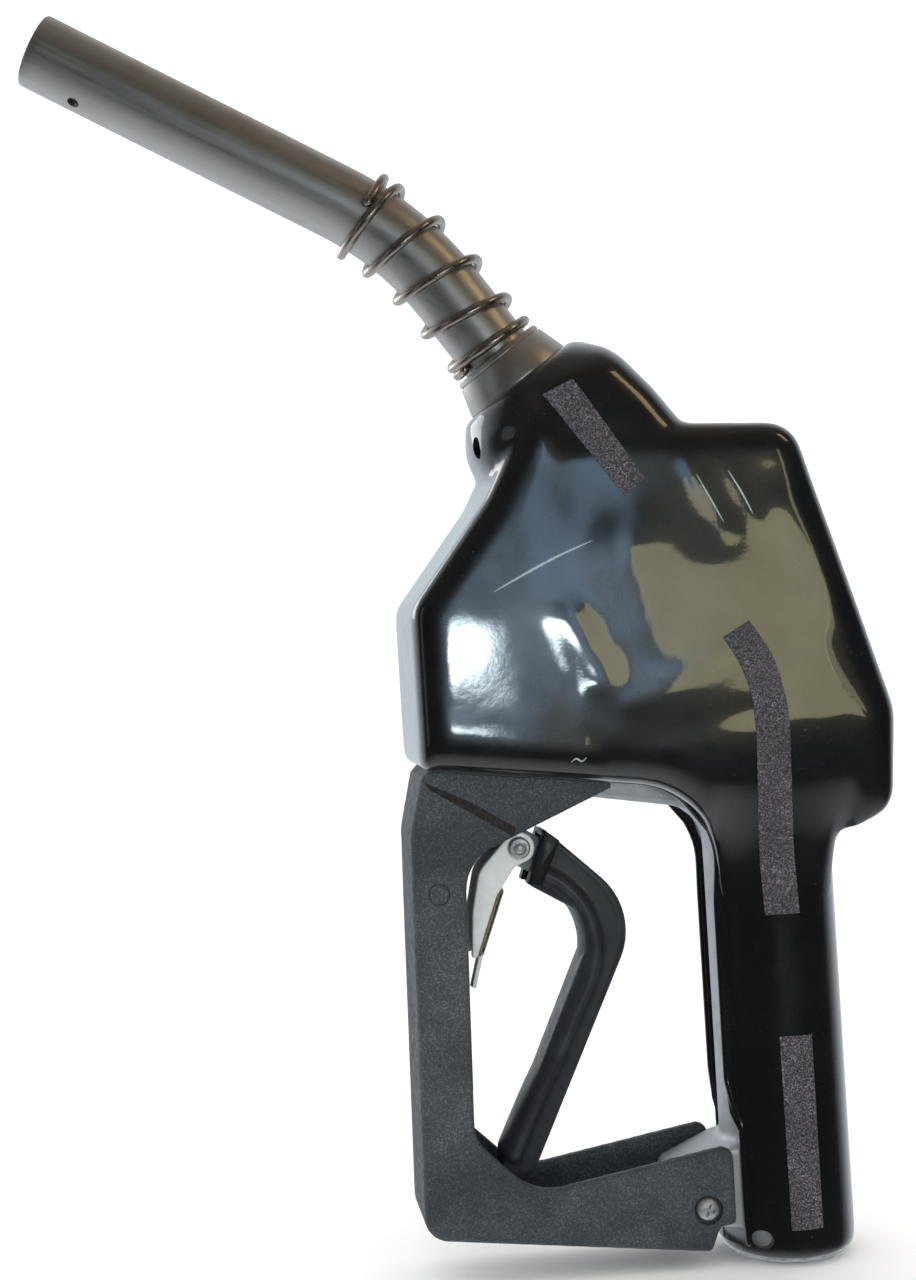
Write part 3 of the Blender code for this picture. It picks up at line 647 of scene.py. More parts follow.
BAND = lever_finish("lever_band", (0.003, 0.0034, 0.005), (0.006, 0.007, 0.009), 0.15)
CORE = lever_finish("lever_core_grey", (0.05, 0.06, 0.066), (0.085, 0.1, 0.11), 0.3)
# Pale grained vinyl for the raised witness lines: a painted highlight along each line, also used for the
# short scuff mark.
HIGHLIGHT_AND_SCUFF = grained_finish("highlight_and_scuff_vinyl", (0.22, 0.27, 0.31), (0.5, 0.56, 0.6), 0.7, 0.02, 0.35, 0.6)
# Dark brown for the thin sheets in the cheek grooves: a painted shadow.
GROOVE = grained_finish("groove_shadow", (0.016, 0.01, 0.008), (0.05, 0.035, 0.03), 1.2, 0.05, 0.6, 0.8)
# The rolled fold of the clip, where the passivate has pooled and gone tan.
GILT = plain_finish(
    "gilt_zinc", (0.46, 0.37, 0.26), (0.76, 0.68, 0.54), (1.2, 4.0, (1.0, 1.0, 9.0)), (2.0, 0.2, 0.42),
    (0.5, 0.01, 0.6), 1.0,
)

for row in frame["record"]["subparts"]:
    node = frame["nodes"][row["node"]]
    node.data.materials.clear()
    node.data.materials.append(CORE if row["node"] == "lever_core" else FINISHES[row["material_slot"]])


# ---------------------------------------------------------------- spout

NOSE_DIRECTION = direction(180.0 - NOSE_ANGLE)
NOSE_RIGHT = direction(90.0 - NOSE_ANGLE)
BEND = math.radians(NOSE_ANGLE - TIP_ANGLE)
SPOUT_END = SPOUT_LEG + BEND_RADIUS * BEND + SPOUT_STRAIGHT


def nose(distance, side=0.0, depth=0.0):
    point = Vector((NOSE_POINT[0], depth, NOSE_POINT[1]))
    return point + NOSE_DIRECTION * distance + NOSE_RIGHT * side


def nose_frame(distance):
    return nose(distance), NOSE_RIGHT, ACROSS


def spout_frame(distance):
    """Centre, upward normal and sideways direction at a distance along the spout from the nose."""
    if distance <= SPOUT_LEG:
        return nose(distance), NOSE_RIGHT, ACROSS
    turn = min((distance - SPOUT_LEG) / BEND_RADIUS, BEND)
    centre = nose(SPOUT_LEG) - NOSE_RIGHT * BEND_RADIUS
    normal = direction(90.0 - NOSE_ANGLE + math.degrees(turn))
    beyond = max(distance - SPOUT_LEG - BEND_RADIUS * BEND, 0.0)
    along = direction(180.0 - NOSE_ANGLE + math.degrees(turn))
    return centre + normal * BEND_RADIUS + along * beyond, normal, ACROSS


def stations(start, end):
    """Distances about 3 mm apart."""
    count = int((end - start) / 3.0)
    return [start + (end - start) * index / count for index in range(count + 1)]


def build_spout():
    inner = SPOUT_RADIUS - SPOUT_WALL
    rows = [(distance, SPOUT_RADIUS) for distance in stations(-8.2, SPOUT_END - 0.7)]
    rows += [
        (SPOUT_END - 0.3, SPOUT_RADIUS - 0.1), (SPOUT_END - 0.06, SPOUT_RADIUS - 0.35),
        (SPOUT_END, SPOUT_RADIUS - 0.65), (SPOUT_END - 0.02, inner + 0.45),
        (SPOUT_END - 0.2, inner + 0.18), (SPOUT_END - 0.6, inner),
    ]
    rows += [(distance, inner) for distance in reversed(stations(-8.2, SPOUT_END - 3.0))]
    spout = revolve("spout_shell", rows, spout_frame, 72, ring=True)
    centre, normal, _ = spout_frame(SPOUT_END - 17.0)
    outward = -normal * 0.9 - ACROSS * 0.44
    port = rod("sensing_port", centre + outward * 14.0, centre + outward * 6.0, 1.7, 24)
    boolean(spout, "DIFFERENCE", port)
    tidy(spout)
    finish_piece(spout, FINISHES["spout"], "spout", "nozzle", "spout_tube")


def spring_rise(turn):
    """Distance along the spout after a number of turns; the end turns are closed up."""

    def ramp(value):
        return (math.sqrt(value * value + 0.12) + value) / 2.0

    return SPRING_PITCH * (ramp(turn - 1.0) - ramp(turn - SPRING_CLOSE))


def build_spout_spring():
    points = []
    count = int(SPRING_TURNS * 40)
    for index in range(count + 1):
        turn = SPRING_TURNS * index / count
        centre, normal, sideways = spout_frame(SPRING_START + spring_rise(turn))
        angle = math.radians(155.0) + 2.0 * math.pi * turn
        points.append(centre + (normal * math.cos(angle) - sideways * math.sin(angle)) * SPRING_RADIUS)
    spring = tube("spout_coil", points, SPRING_WIRE, 16)
    finish_piece(spring, FINISHES["spring"], "spring", "nozzle", "spout_spring")


def build_collar():
    rows = [
        (-1.5, 10.8), (-1.5, 15.3), (-1.2, 15.6), (0.2, 16.1), (0.8, 16.1), (8.1, 13.95),
        (8.3, 13.8), (8.35, 13.45), (8.75, 13.35), (8.8, 13.65), (9.0, 13.7), (9.9, 13.35),
        (10.2, 13.0), (10.2, 11.2), (9.8, 10.8),
    ]
    collar = revolve("collar_ring", rows, nose_frame, 72, ring=True)
    tidy(collar, 28.0)
    finish_piece(collar, FINISHES["spout"], "spout", "nozzle", "spout_collar")


# ---------------------------------------------------------------- insulator and casting

BODY_OUTLINE = [
    (BODY_LEFT, 143.0, 0.0), (BODY_LEFT, 187.0, 9.0), (-76.4, 215.5, 9.0), (-69.0, 230.0, 0.0),
    (-44.0, 234.4, 0.0), (9.4, 232.0, 10.0), (33.4, 152.0, 14.0), (31.5, 124.2, 8.5),
    (17.2, 118.0, 0.0), (15.2, 100.0, 0.0), (-15.2, 100.0, 0.0), (-18.2, 132.8, 26.0),
]

# The body's front edges are crisper than its others.
FRONT_OUTLINE = [
    (BODY_LEFT, 146.0, 0.0), (BODY_LEFT, 187.0, 6.0), (-76.4, 215.5, 9.0), (-62.0, 243.0, 0.0),
    (-30.0, 200.0, 0.0), (-60.0, 150.0, 0.0),
]

# Low swells in the dipped skin's flat side: start and end (x, z), width and height.
CREASES = [
    ((-21.5, 222.0), (-11.5, 202.5), 2.2, 0.12),
    ((-12.0, 222.5), (-3.0, 203.5), 2.0, 0.12),
    ((-56.5, 181.5), (-49.0, 165.0), 5.5, 0.34),
    ((-41.0, 158.5), (-12.0, 168.5), 5.0, 0.22),
    ((-33.0, 149.5), (-5.0, 153.0), 4.5, -0.22),
    ((4.5, 209.0), (14.5, 186.0), 6.0, 0.3),
    ((12.0, 170.0), (24.0, 150.0), 6.0, 0.3),
]


def body_share(x, z):
    """1 where the body keeps its full width, falling to 0 where it narrows into the handle."""
    return max(smoothstep(96.0, 152.0, z), smoothstep(-22.0, -54.0, x))


def crease_height(x, z):
    total = 0.0
    here = Vector((x, z))
    for start, end, width, height in CREASES:
        start = Vector(start)
        run = Vector(end) - start
        share = (here - start).dot(run) / run.length_squared
        nearest = start + run * min(max(share, 0.0), 1.0)
        distance = (here - nearest).length / width
        total += height * math.exp(-distance * distance)
    return total


def soft_wave(x, z, side):
    wide = noise.noise(Vector((x * 0.021 + 3.1 * side, 0.7, z * 0.021)))
    fine = noise.noise(Vector((x * 0.052, 5.0 + side, z * 0.052)))
    calm = 0.3 + 0.7 * smoothstep(-72.0, -46.0, x)
    return calm * (0.9 * wide + 0.26 * fine)


def narrow_and_wave(obj, narrow_at, waves):
    """Narrow the body into the handle and, on the skin, add its soft waves and creases."""
    for vertex in obj.data.vertices:
        x, y, z = vertex.co / MM
        side = 1.0 if y > 0.0 else -1.0
        extra = abs(y) - narrow_at
        if extra > 0.0 and z > NECK_BOTTOM:
            y = side * (narrow_at + extra * body_share(x, z))
        if NECK_BOTTOM < z < NECK_TOP and abs(x) < NECK_REACH:
            round_handle = math.sqrt(max(narrow_at * narrow_at - x * x, 0.0))
            over = max(abs(y) - round_handle, 0.0)
            kept = over * smoothstep(98.0, 136.0, z)
            share = 1.0 - smoothstep(16.5, NECK_REACH, abs(x))
            y = side * (abs(y) - (over - kept) * share)
        if waves:
            flat = smoothstep(13.0, 21.0, abs(y)) * smoothstep(118.0, 150.0, z)
            flat = flat * smoothstep(243.0, 222.0, z)
            y += side * flat * (soft_wave(x, z, side) - 0.4)
            if side < 0.0:
                y -= flat * crease_height(x, z)
            else:
                y += flat * crease_height(x + 6.0, z - 4.0)
            limit = BODY_HALF_WIDTH + 1.2
            y = max(min(y, limit), -limit)
        vertex.co = Vector((x, y, z)) * MM


def build_insulator():
    body = plate("skin_body", rounded(BODY_OUTLINE), BODY_HALF_WIDTH, BODY_RIM, 6)
    handle_rows = [
        (HANDLE_BOTTOM, HANDLE_RADIUS - 2.2), (HANDLE_BOTTOM + 0.35, HANDLE_RADIUS - 1.1),
        (HANDLE_BOTTOM + 1.3, HANDLE_RADIUS - 0.3), (HANDLE_BOTTOM + 2.6, HANDLE_RADIUS),
        (124.0, HANDLE_RADIUS),
    ]
    handle = revolve("skin_handle", handle_rows, straight((0, 0, 0), UP), 72)
    nose_rows = [
        (0.3, 17.0), (0.3, 18.4, 2.0), (-0.2, 19.2, 2.05), (-1.4, 20.2, 2.15), (-3.4, 21.6, 2.4),
        (-7.2, 24.0, 2.9), (-12.0, 25.2, 3.3), (-24.0, 26.2, 3.8), (-44.0, 26.6, 4.0),
    ]
    tip = revolve("skin_nose", nose_rows, nose_frame, 96)
    front = plate("skin_front", rounded(FRONT_OUTLINE), BODY_HALF_WIDTH, 5.4, 6)
    skin = remeshed(merged("insulator_skin", [body, front, handle, tip]), SKIN_VOXEL, 10, 0.6)
    narrow_and_wave(skin, HANDLE_RADIUS, True)
    smooth = skin.modifiers.new("settle", "SMOOTH")
    smooth.factor = 0.5
    smooth.iterations = 4
    wall = skin.modifiers.new("wall", "SOLIDIFY")
    wall.thickness = SKIN_WALL * MM
    wall.offset = -1.0
    outer = surface_of(apply_modifiers(skin))
    slot_cutter = loft("underside_slot", [
        ((-96.2, 136.0), (-96.2, 147.0), 15.6),
        ((-60.0, 134.0), (-60.0, 142.6), 15.6),
        ((-44.0, 130.0), (-40.0, 140.2), 15.4),
        ((-34.0, 125.0), (-28.0, 137.0), 14.6),
        ((-29.0, 119.0), (-20.0, 130.0), 12.9),
        ((-26.0, 112.0), (-14.5, 119.0), 10.8),
        ((-25.0, 104.0), (-12.5, 108.0), 8.9),
        ((-25.0, 92.0), (-12.0, 93.0), 8.0),
        ((-25.0, 52.0), (-12.0, 52.0), 8.0),
        ((-25.0, 41.0), (-11.0, 41.0), 9.2),
        ((-25.0, 36.0), (-10.0, 36.0), 11.8),
        ((-25.0, 4.0), (-10.0, 4.0), 11.8),
    ])
    side_hole = nose(-7.0, -21.5, -9.5)
    side_way = (-NOSE_RIGHT - ACROSS * 0.35).normalized()
    boolean(
        skin,
        "DIFFERENCE",
        slot_cutter,
        rod("nose_opening", nose(-5.0), nose(8.0), 16.6),
        rod("inlet_opening", (0, 0, -4.0), (0, 0, 6.0), HANDLE_RADIUS - SKIN_WALL - 0.2),
        rod("drain_hole", (-11.1, -30.0, 6.8), (-11.1, -4.0, 6.8), 2.6, 32),
        rod("side_hole", side_hole + side_way * 6.0, side_hole - side_way * 4.0, 2.7, 32),
    )
    tidy(skin, 45.0)
    finish_piece(skin, FINISHES["vinyl"], "vinyl", "nozzle", "hand_insulator")
    return outer


def build_slot_beads(outer):
    """The thick rolled lip along each side of the slot under the body and down the handle."""
    width_at = [(143.0, 15.6), (139.0, 15.5), (132.0, 14.2), (122.0, 12.2), (112.0, 9.8),
                (100.0, 8.3), (50.0, 8.0), (44.0, 9.6), (38.0, 11.8), (4.0, 11.8)]
    for side in (-1.0, 1.0):
        points = []
        for index in range(48):
            x = -95.0 + (70.0 * index / 47.0)
            half = 15.9 if x < -44.0 else 15.9 - 2.9 * smoothstep(-44.0, -25.0, x)
            spot, _ = outer((x, side * half, 60.0), UP)
            if spot:
                points.append(spot + UP * 0.5)
        for index in range(60):
            z = 121.0 - 116.0 * index / 59.0
            half = 8.2
            for (upper, wide), (lower, slim) in zip(width_at, width_at[1:]):
                if lower <= z <= upper:
                    half = slim + (wide - slim) * (z - lower) / (upper - lower) + 0.2
            spot, _ = outer((-60.0, side * half, z), (1.0, 0.0, 0.0))
            if spot and (not points or spot.z < points[-1].z - 0.5):
                points.append(spot + Vector((0.5, 0.0, 0.0)))
        bead = tube("slot_lip_" + ("near" if side < 0.0 else "far"), points, 0.95)
        finish_piece(bead, FINISHES["vinyl"], "vinyl", "nozzle")


def eased(corners, steps=8):
    """Catmull-Rom points through (x, z) corners."""
    corners = [Vector(corner[:2]) for corner in corners]
    ends = [2.0 * corners[0] - corners[1]] + corners + [2.0 * corners[-1] - corners[-2]]
    points = []
    for index in range(1, len(ends) - 2):
        before, start, end, after = ends[index - 1:index + 3]
        for step in range(steps):
            t = step / steps
            spot = start * 2.0 + (end - before) * t
            spot += (before * 2.0 - start * 5.0 + end * 4.0 - after) * t * t
            spot += (start * 3.0 - before - end * 3.0 + after) * t * t * t
            points.append(spot / 2.0)
    points.append(corners[-1])
    return points


def along_edge(corners, share):
    """A point part of the way along a line of (x, z) corners."""
    spans = [(Vector(b) - Vector(a)).length for a, b in zip(corners, corners[1:])]
    left = share * sum(spans)
    for (start, end), span in zip(zip(corners, corners[1:]), spans):
        if left <= span:
            return Vector(start).lerp(Vector(end), left / span)
        left -= span
    return Vector(corners[-1])


def build_stripe(name, outer, left, right, side, rows, columns=8):
    """A grained strip on the skin, between two lines of (x, z) corners, drawn on one side of the body."""
    proud = 0.22
    sunk = 0.5
    tops = []
    undersides = []
    for row in range(rows + 1):
        first = along_edge(left, row / rows)
        last = along_edge(right, row / rows)
        for column in range(columns + 1):
            spot = first.lerp(last, column / columns)
            found, normal = outer((spot.x, side * 60.0, spot.y), (0.0, -side, 0.0))
            if normal.y * side < 0.0:
                normal = -normal
            tops.append(found + normal * proud)
            undersides.append(found - normal * sunk)
    faces = []
    wide = columns + 1
    lower = len(tops)
    for row in range(rows):
        for column in range(columns):
            corner = row * wide + column
            quad = (corner, corner + 1, corner + 1 + wide, corner + wide)
            faces.append(quad)
            faces.append(tuple(lower + index for index in reversed(quad)))
    rim = list(range(wide))
    rim += [row * wide + columns for row in range(1, rows + 1)]
    rim += [rows * wide + column for column in range(columns - 1, -1, -1)]
    rim += [row * wide for row in range(rows - 1, 0, -1)]
    for index, corner in enumerate(rim):
        following = rim[(index + 1) % len(rim)]
        faces.append((following, corner, lower + corner, lower + following))
    stripe = tidy(mesh_object(name, tops + undersides, faces), 40.0)
    finish_piece(stripe, STRIPE, "vinyl", "nozzle")


def build_stripes(outer):
    shapes = {
        "nose_stripe": (
            [(-59.6, 242.6), (-50.0, 228.8), (-39.4, 213.7)],
            [(-51.2, 246.4), (-42.6, 232.6), (-33.7, 218.3)],
            24,
        ),
        "side_stripe": (
            [(-15.1, 174.2), (-11.3, 167.2), (-8.5, 159.1), (-7.6, 149.7), (-7.6, 134.0), (-6.6, 116.0),
             (-5.7, 97.0)],
            [(-7.7, 178.2), (-2.6, 169.9), (0.2, 161.3), (1.6, 152.0), (1.7, 136.0), (2.8, 117.0),
             (3.8, 97.0)],
            60,
        ),
        "handle_stripe": ([(-3.9, 63.3), (-3.8, 9.8)], [(5.1, 63.3), (5.0, 9.8)], 40),
    }
    for name, (left, right, rows) in shapes.items():
        build_stripe(name + "_near", outer, eased(left), eased(right), -1.0, rows)
        build_stripe(name + "_far", outer, eased(left), eased(right), 1.0, rows)


def build_witness_lines(outer):
    """Thin raised lines that the dipping mould left on the skin, coloured pale as a painted highlight along
    each line; the short scuff mark takes the same pale colour.
    """
    lines = {
        "witness_front": ([(-80.5, 188.2), (-69.3, 193.8), (-58.2, 198.9), (-44.2, 204.1)], 0.42),
        "witness_top_1": ([(-20.8, 221.0), (-15.9, 211.3), (-12.0, 203.4)], 0.26),
        "witness_top_2": ([(-11.9, 221.0), (-7.5, 213.0), (-3.9, 205.0)], 0.3),
        "scuff": ([(-59.0, 142.6), (-57.0, 144.0), (-55.4, 143.2), (-53.4, 144.8)], 0.3),
    }
    for name, (line, radius) in lines.items():
        points = []
        for spot in eased(line):
            found, _ = outer((spot.x, -60.0, spot.y), ACROSS)
            points.append(found + ACROSS * radius * 0.3)
        ridge = tube(name, points, radius, 12, 0.6, lambda share: 0.25 + 0.75 * math.sin(math.pi * share))
        # painted highlight: the pale colour stands in for light caught along the raised line
        finish_piece(ridge, HIGHLIGHT_AND_SCUFF, "vinyl", "nozzle")


def build_casting():
    """The casting as cast: the CAD solid with its corners softened and its body narrowed like the skin."""
    casting = added("casting_shell", frame["nodes"]["body_casting"].data.copy())
    narrow_and_wave(casting, HANDLE_RADIUS - 2.4, False)
    remeshed(casting, 1.2, 2)
    casting.data.materials.clear()
    finish_piece(casting, FINISHES["casting"], "casting", "nozzle", "body_casting")


def build_inlet_thread():
    """The female pipe thread's crests inside the handle's lower end."""
    crest = 12.1
    root = 12.95
    pitch = 1.8
    rows = [(0.8, 13.3), (0.8, root)]
    for turn in range(8):
        base = 1.0 + turn * pitch
        rows += [(base, root), (base + 0.75, crest), (base + 1.05, crest), (base + pitch - 0.05, root)]
    rows += [(15.6, root), (15.6, 13.3)]
    thread = revolve("inlet_thread", rows, straight((0, 0, 0), UP), 64, ring=True)
    finish_piece(thread, FINISHES["casting"], "casting", "nozzle")


# ---------------------------------------------------------------- lever and clip

def build_lever_grip():
    outline = rounded([
        (-63.2, 123.4, 0.0), (-37.2, 98.6, 20.0), (-72.3, 26.4, 3.6), (-82.4, 26.8, 3.4),
        (-50.0, 96.6, 9.0), (-68.0, 107.6, 0.0),
    ])
    web = plate("grip_web", outline, LEVER_HALF_WIDTH - 2.4, 0.8, 3)
    spine = [(-64.4, 110.9), (-62.2, 109.7), (-59.4, 107.9), (-54.2, 102.0), (-51.5, 95.0), (-51.1, 88.0),
             (-53.2, 80.2), (-58.8, 69.2), (-64.1, 58.4), (-70.5, 46.7), (-77.4, 32.9)]

    def thickness(share):
        return 0.9 + 0.1 * smoothstep(0.1, 0.5, share)

    bar = 3.7
    stretch = (LEVER_HALF_WIDTH - 0.1) / bar
    rib = tube("grip_rib", in_plane(eased(spine), 70), bar, 32, stretch, thickness, True)
    rim_line = [(-60.0, 119.2), (-51.9, 111.4), (-46.2, 104.2), (-43.8, 97.4), (-44.2, 90.4), (-47.6, 81.6),
                (-54.2, 67.4), (-61.4, 52.2), (-68.6, 37.0)]
    bead = 0.7
    flange = tube("grip_flange", in_plane(eased(rim_line), 60), bead, 14, (LEVER_HALF_WIDTH - 2.0) / bead)
    grip = remeshed(merged("lever_grip_moulding", [web, rib, flange]), 0.5, 4, 0.5)
    pocket = plate(
        "grip_pocket",
        [(-74.0, 130.5), (-61.0, 119.0), (-49.3, 109.7), (-52.9, 102.2), (-65.0, 109.4), (-76.0, 111.0)],
        CORE_ROOM_HALF_WIDTH,
    )
    boolean(grip, "DIFFERENCE", pocket)
    tidy(grip, 45.0)
    finish_piece(grip, FINISHES["lever"], "lever", "lever", "lever_grip")
    band = plate(
        "lever_band",
        rounded([(-63.4, 123.2, 0.4), (-59.4, 120.0, 0.4), (-65.2, 107.6, 0.4), (-69.2, 108.4, 0.4)], 3),
        LEVER_HALF_WIDTH,
        0.4,
        2,
    )
    core_room = [(-74.0, 130.5), (-49.3, 109.7), (-52.9, 102.2), (-76.0, 111.0)]
    slot_for_core = plate("band_pocket", core_room, CORE_ROOM_HALF_WIDTH)
    boolean(band, "DIFFERENCE", slot_for_core)
    tidy(band)
    finish_piece(band, BAND, "lever", "lever")


def build_clip():
    rx, rz = RIVET
    outline = rounded(
        arc(RIVET, 4.5, 140.0, -50.0, 20)
        + [
            (rx - 1.6, rz - 5.4, 3.0), (-75.4, 109.0, 2.0), (-77.8, 105.6, 0.0), (-84.3, 88.8, 0.4),
            (-85.9, 88.6, 0.8), (-85.0, 101.5, 6.0), (-82.4, 113.0, 8.0),
        ]
    )
    clip = plate("clip_stamping", outline, CLIP_HALF_WIDTH, 0.5, 3)
    hollow = plate(
        "clip_hollow",
        [
            (rx - 12.0, rz + 8.0), (rx + 8.0, rz + 8.0), (rx + 8.0, rz - 5.4), (rx - 4.4, rz - 5.4),
            (-77.9, 105.4), (-83.9, 88.9), (-84.6, 84.0), (-91.0, 84.0),
        ],
        CLIP_HALF_WIDTH - 1.2,
    )
    hole = rod("clip_hole", (rx, -9.0, rz), (rx, 9.0, rz), 1.85, 32)
    boolean(clip, "DIFFERENCE", hollow, hole)
    tongue = plate("clip_tongue", [(-81.0, 92.6), (-82.2, 92.9), (-85.8, 79.8), (-84.6, 79.4)], 2.2, 0.3, 2)
    boolean(clip, "UNION", tongue)
    tidy(clip, 30.0)
    finish_piece(clip, FINISHES["steel"], "steel", "clip", "hold_open_clip")
    fold = in_plane([(-76.5, 106.4), (-83.0, 89.8)], 20)
    bend = 1.45
    roll = tube("clip_fold", fold, bend, 24, (CLIP_HALF_WIDTH - 0.1) / bend)
    finish_piece(roll, GILT, "steel", "clip")


def build_rivet():
    rx, rz = RIVET
    rows = [
        (-7.9, 0.0), (-7.86, 0.9), (-7.6, 1.3), (-7.45, 1.35), (-7.5, 1.5), (-7.85, 1.9),
        (-7.75, 2.6), (-7.3, 3.05), (-6.7, 3.2), (-6.7, 1.6), (6.7, 1.6), (6.7, 3.2), (7.3, 3.05),
        (7.75, 2.4), (7.9, 1.2), (7.9, 0.0),
    ]
    rivet = revolve("rivet_shank", rows, straight((rx, 0, rz), ACROSS), 40)
    finish_piece(rivet, BRIGHT, "steel", "lever", "clip_rivet")


# ---------------------------------------------------------------- guard

# A shallow groove across each cheek.
CHEEK_GROOVE = [
    (-97.2, 139.4), (-95.9, 137.3), (-85.6, 130.7), (-73.4, 122.9), (-72.6, 125.3), (-84.6, 133.0),
]

# The guard's outside, without its opening: its outer edges are rounded more than the opening's.
GUARD_SILHOUETTE = [
    (-95.6, 147.0, 0.0), (-97.8, 141.6, 3.0), (-101.6, 125.0, 5.0), (-102.2, 105.0, 0.0),
    (-104.4, 13.2, 6.5), (-24.4, 3.6, 0.0), (-21.8, 10.4, 0.0), (-14.0, 11.0, 0.0),
    (-14.0, 40.0, 0.0), (-38.0, 147.0, 0.0),
]


def build_guard():
    outline = rounded([
        (-95.4, 144.2, 0.0), (-95.6, 142.3, 0.0), (-97.8, 140.6, 0.0), (-101.6, 125.0, 5.0),
        (-102.2, 105.0, 0.0), (-104.4, 13.2, 6.5), (-25.2, 3.9, 0.0), (-22.4, 10.6, 0.0),
        (-17.8, 11.4, 0.0), (-17.6, 33.4, 3.0), (-73.0, 24.0, 15.0), (-89.2, 39.7, 10.0),
        (-87.0, 117.0, 13.0), (-45.4, 134.4, 0.0), (-45.4, 138.0, 0.0),
    ])
    guard = plate("guard_moulding", outline, GUARD_HALF_WIDTH, 0.0)
    corners = plate("guard_corners", rounded(GUARD_SILHOUETTE), GUARD_HALF_WIDTH, 2.6, 5)
    boolean(guard, "INTERSECT", corners)
    channel = plate(
        "guard_channel",
        rounded([
            (-92.4, 152.0, 0.0), (-92.4, 141.0, 0.0), (-98.5, 124.6, 4.0), (-99.2, 105.0, 0.0),
            (-101.2, 16.0, 6.0), (-27.0, 7.4, 0.0), (-7.0, 7.4, 0.0), (-7.0, 70.0, 0.0),
            (-39.0, 152.0, 0.0),
        ]),
        CHANNEL_HALF_WIDTH,
    )
    sx, sz = SCREW
    boolean(guard, "DIFFERENCE", channel)
    additions = [block("guard_tongue", (-95.0, -6.0, 142.0), (-92.9, 6.0, 145.4))]
    for index in range(3):
        height = 84.0 + 5.5 * index
        additions.append(plate(
            "guard_notch",
            [(-102.0, height), (-98.0, height), (-99.4, height + 3.4), (-102.0, height + 3.4)],
            5.0,
        ))
    boolean(guard, "UNION", *additions)
    remeshed(guard, 0.8, 3)
    cutters = [
        rod("screw_recess", (sx, -18.0, sz), (sx, -13.4, sz), 4.1),
        rod("screw_hole", (sx, -18.0, sz), (sx, 18.0, sz), 2.3, 32),
        revolve("nut_recess", [(0.0, 4.4), (5.0, 4.4)], straight((sx, 13.2, sz), ACROSS), 6),
    ]
    for side in (-1.0, 1.0):
        cutters.append(plate("cheek_groove", CHEEK_GROOVE, 1.2, centre=side * GUARD_HALF_WIDTH))
        cutters.append(revolve(
            "ejector_mark",
            [(-0.35, 2.6), (-0.35, 3.1), (1.0, 3.1), (1.0, 2.6)],
            straight((-95.0, side * GUARD_HALF_WIDTH, 108.4), ACROSS * side),
            40,
            ring=True,
        ))
    boolean(guard, "DIFFERENCE", *cutters)
    tidy(guard, 40.0)
    finish_piece(guard, FINISHES["guard"], "guard", "nozzle", "lever_guard")
    # Thin dark sheets laid in each cheek groove: a painted shadow in the groove, not a real part.
    for side in (-1.0, 1.0):
        insert = plate("groove_shadow_sheet", CHEEK_GROOVE, 0.35, centre=side * (GUARD_HALF_WIDTH - 0.8))
        insert.name = "groove_shadow_sheet_" + ("near" if side < 0.0 else "far")
        finish_piece(insert, GROOVE, "guard", "nozzle")


def build_guard_screw():
    sx, sz = SCREW
    rows = [
        (15.3, 0.0), (15.25, 1.0), (15.05, 2.0), (14.7, 2.75), (14.3, 3.1), (13.8, 3.2),
        (13.7, 3.1), (13.7, 2.0), (-15.2, 2.0), (-15.6, 1.6), (-15.6, 0.0),
    ]
    screw = revolve("screw_body", rows, straight((sx, 0, sz), -ACROSS), 48)
    half = 0.42
    reach = 1.75
    drives = []
    for tilt in (20.0, 110.0):
        bit = block("drive", (-reach, -17.0, -half), (reach, -14.0, half))
        turn = Matrix.Rotation(math.radians(tilt), 4, "Y")
        bit.data.transform(Matrix.Translation((sx * MM, 0.0, sz * MM)) @ turn)
        drives.append(bit)
    boolean(screw, "DIFFERENCE", *drives)
    tidy(screw, 30.0)
    finish_piece(screw, BRIGHT, "steel", "nozzle", "guard_screw")


# ---------------------------------------------------------------- stage

def area_light(name, place, target, width, height, colour, radiance, soft=False):
    """A rectangular light aimed at a target; a soft one fades out towards its edges."""
    lamp = bpy.data.lights.new(name, "AREA")
    lamp.shape = "RECTANGLE"
    lamp.size = width * MM
    lamp.size_y = height * MM
    lamp.color = colour
    lamp.energy = radiance * math.pi * width * height * MM * MM
    if soft:
        lamp.use_nodes = True
        tree = lamp.node_tree
        where = tree.nodes.new("ShaderNodeNewGeometry")
        offset = new_node(tree, "ShaderNodeVectorMath", operation="DISTANCE")
        offset.inputs[1].default_value = (0.5, 0.5, 0.0)
        fade = new_node(tree, "ShaderNodeMapRange", interpolation_type="SMOOTHERSTEP")
        fade.inputs["From Min"].default_value = 0.5
        fade.inputs["From Max"].default_value = 0.08
        tree.links.new(where.outputs["Parametric"], offset.inputs[0])
        tree.links.new(offset.outputs["Value"], fade.inputs["Value"])
        tree.links.new(fade.outputs["Result"], tree.nodes["Emission"].inputs["Strength"])
    aim = (Vector(target) - Vector(place)).to_track_quat("-Z", "Y")
    added(name, lamp).matrix_world = Matrix.Translation(Vector(place) * MM) @ aim.to_matrix().to_4x4()


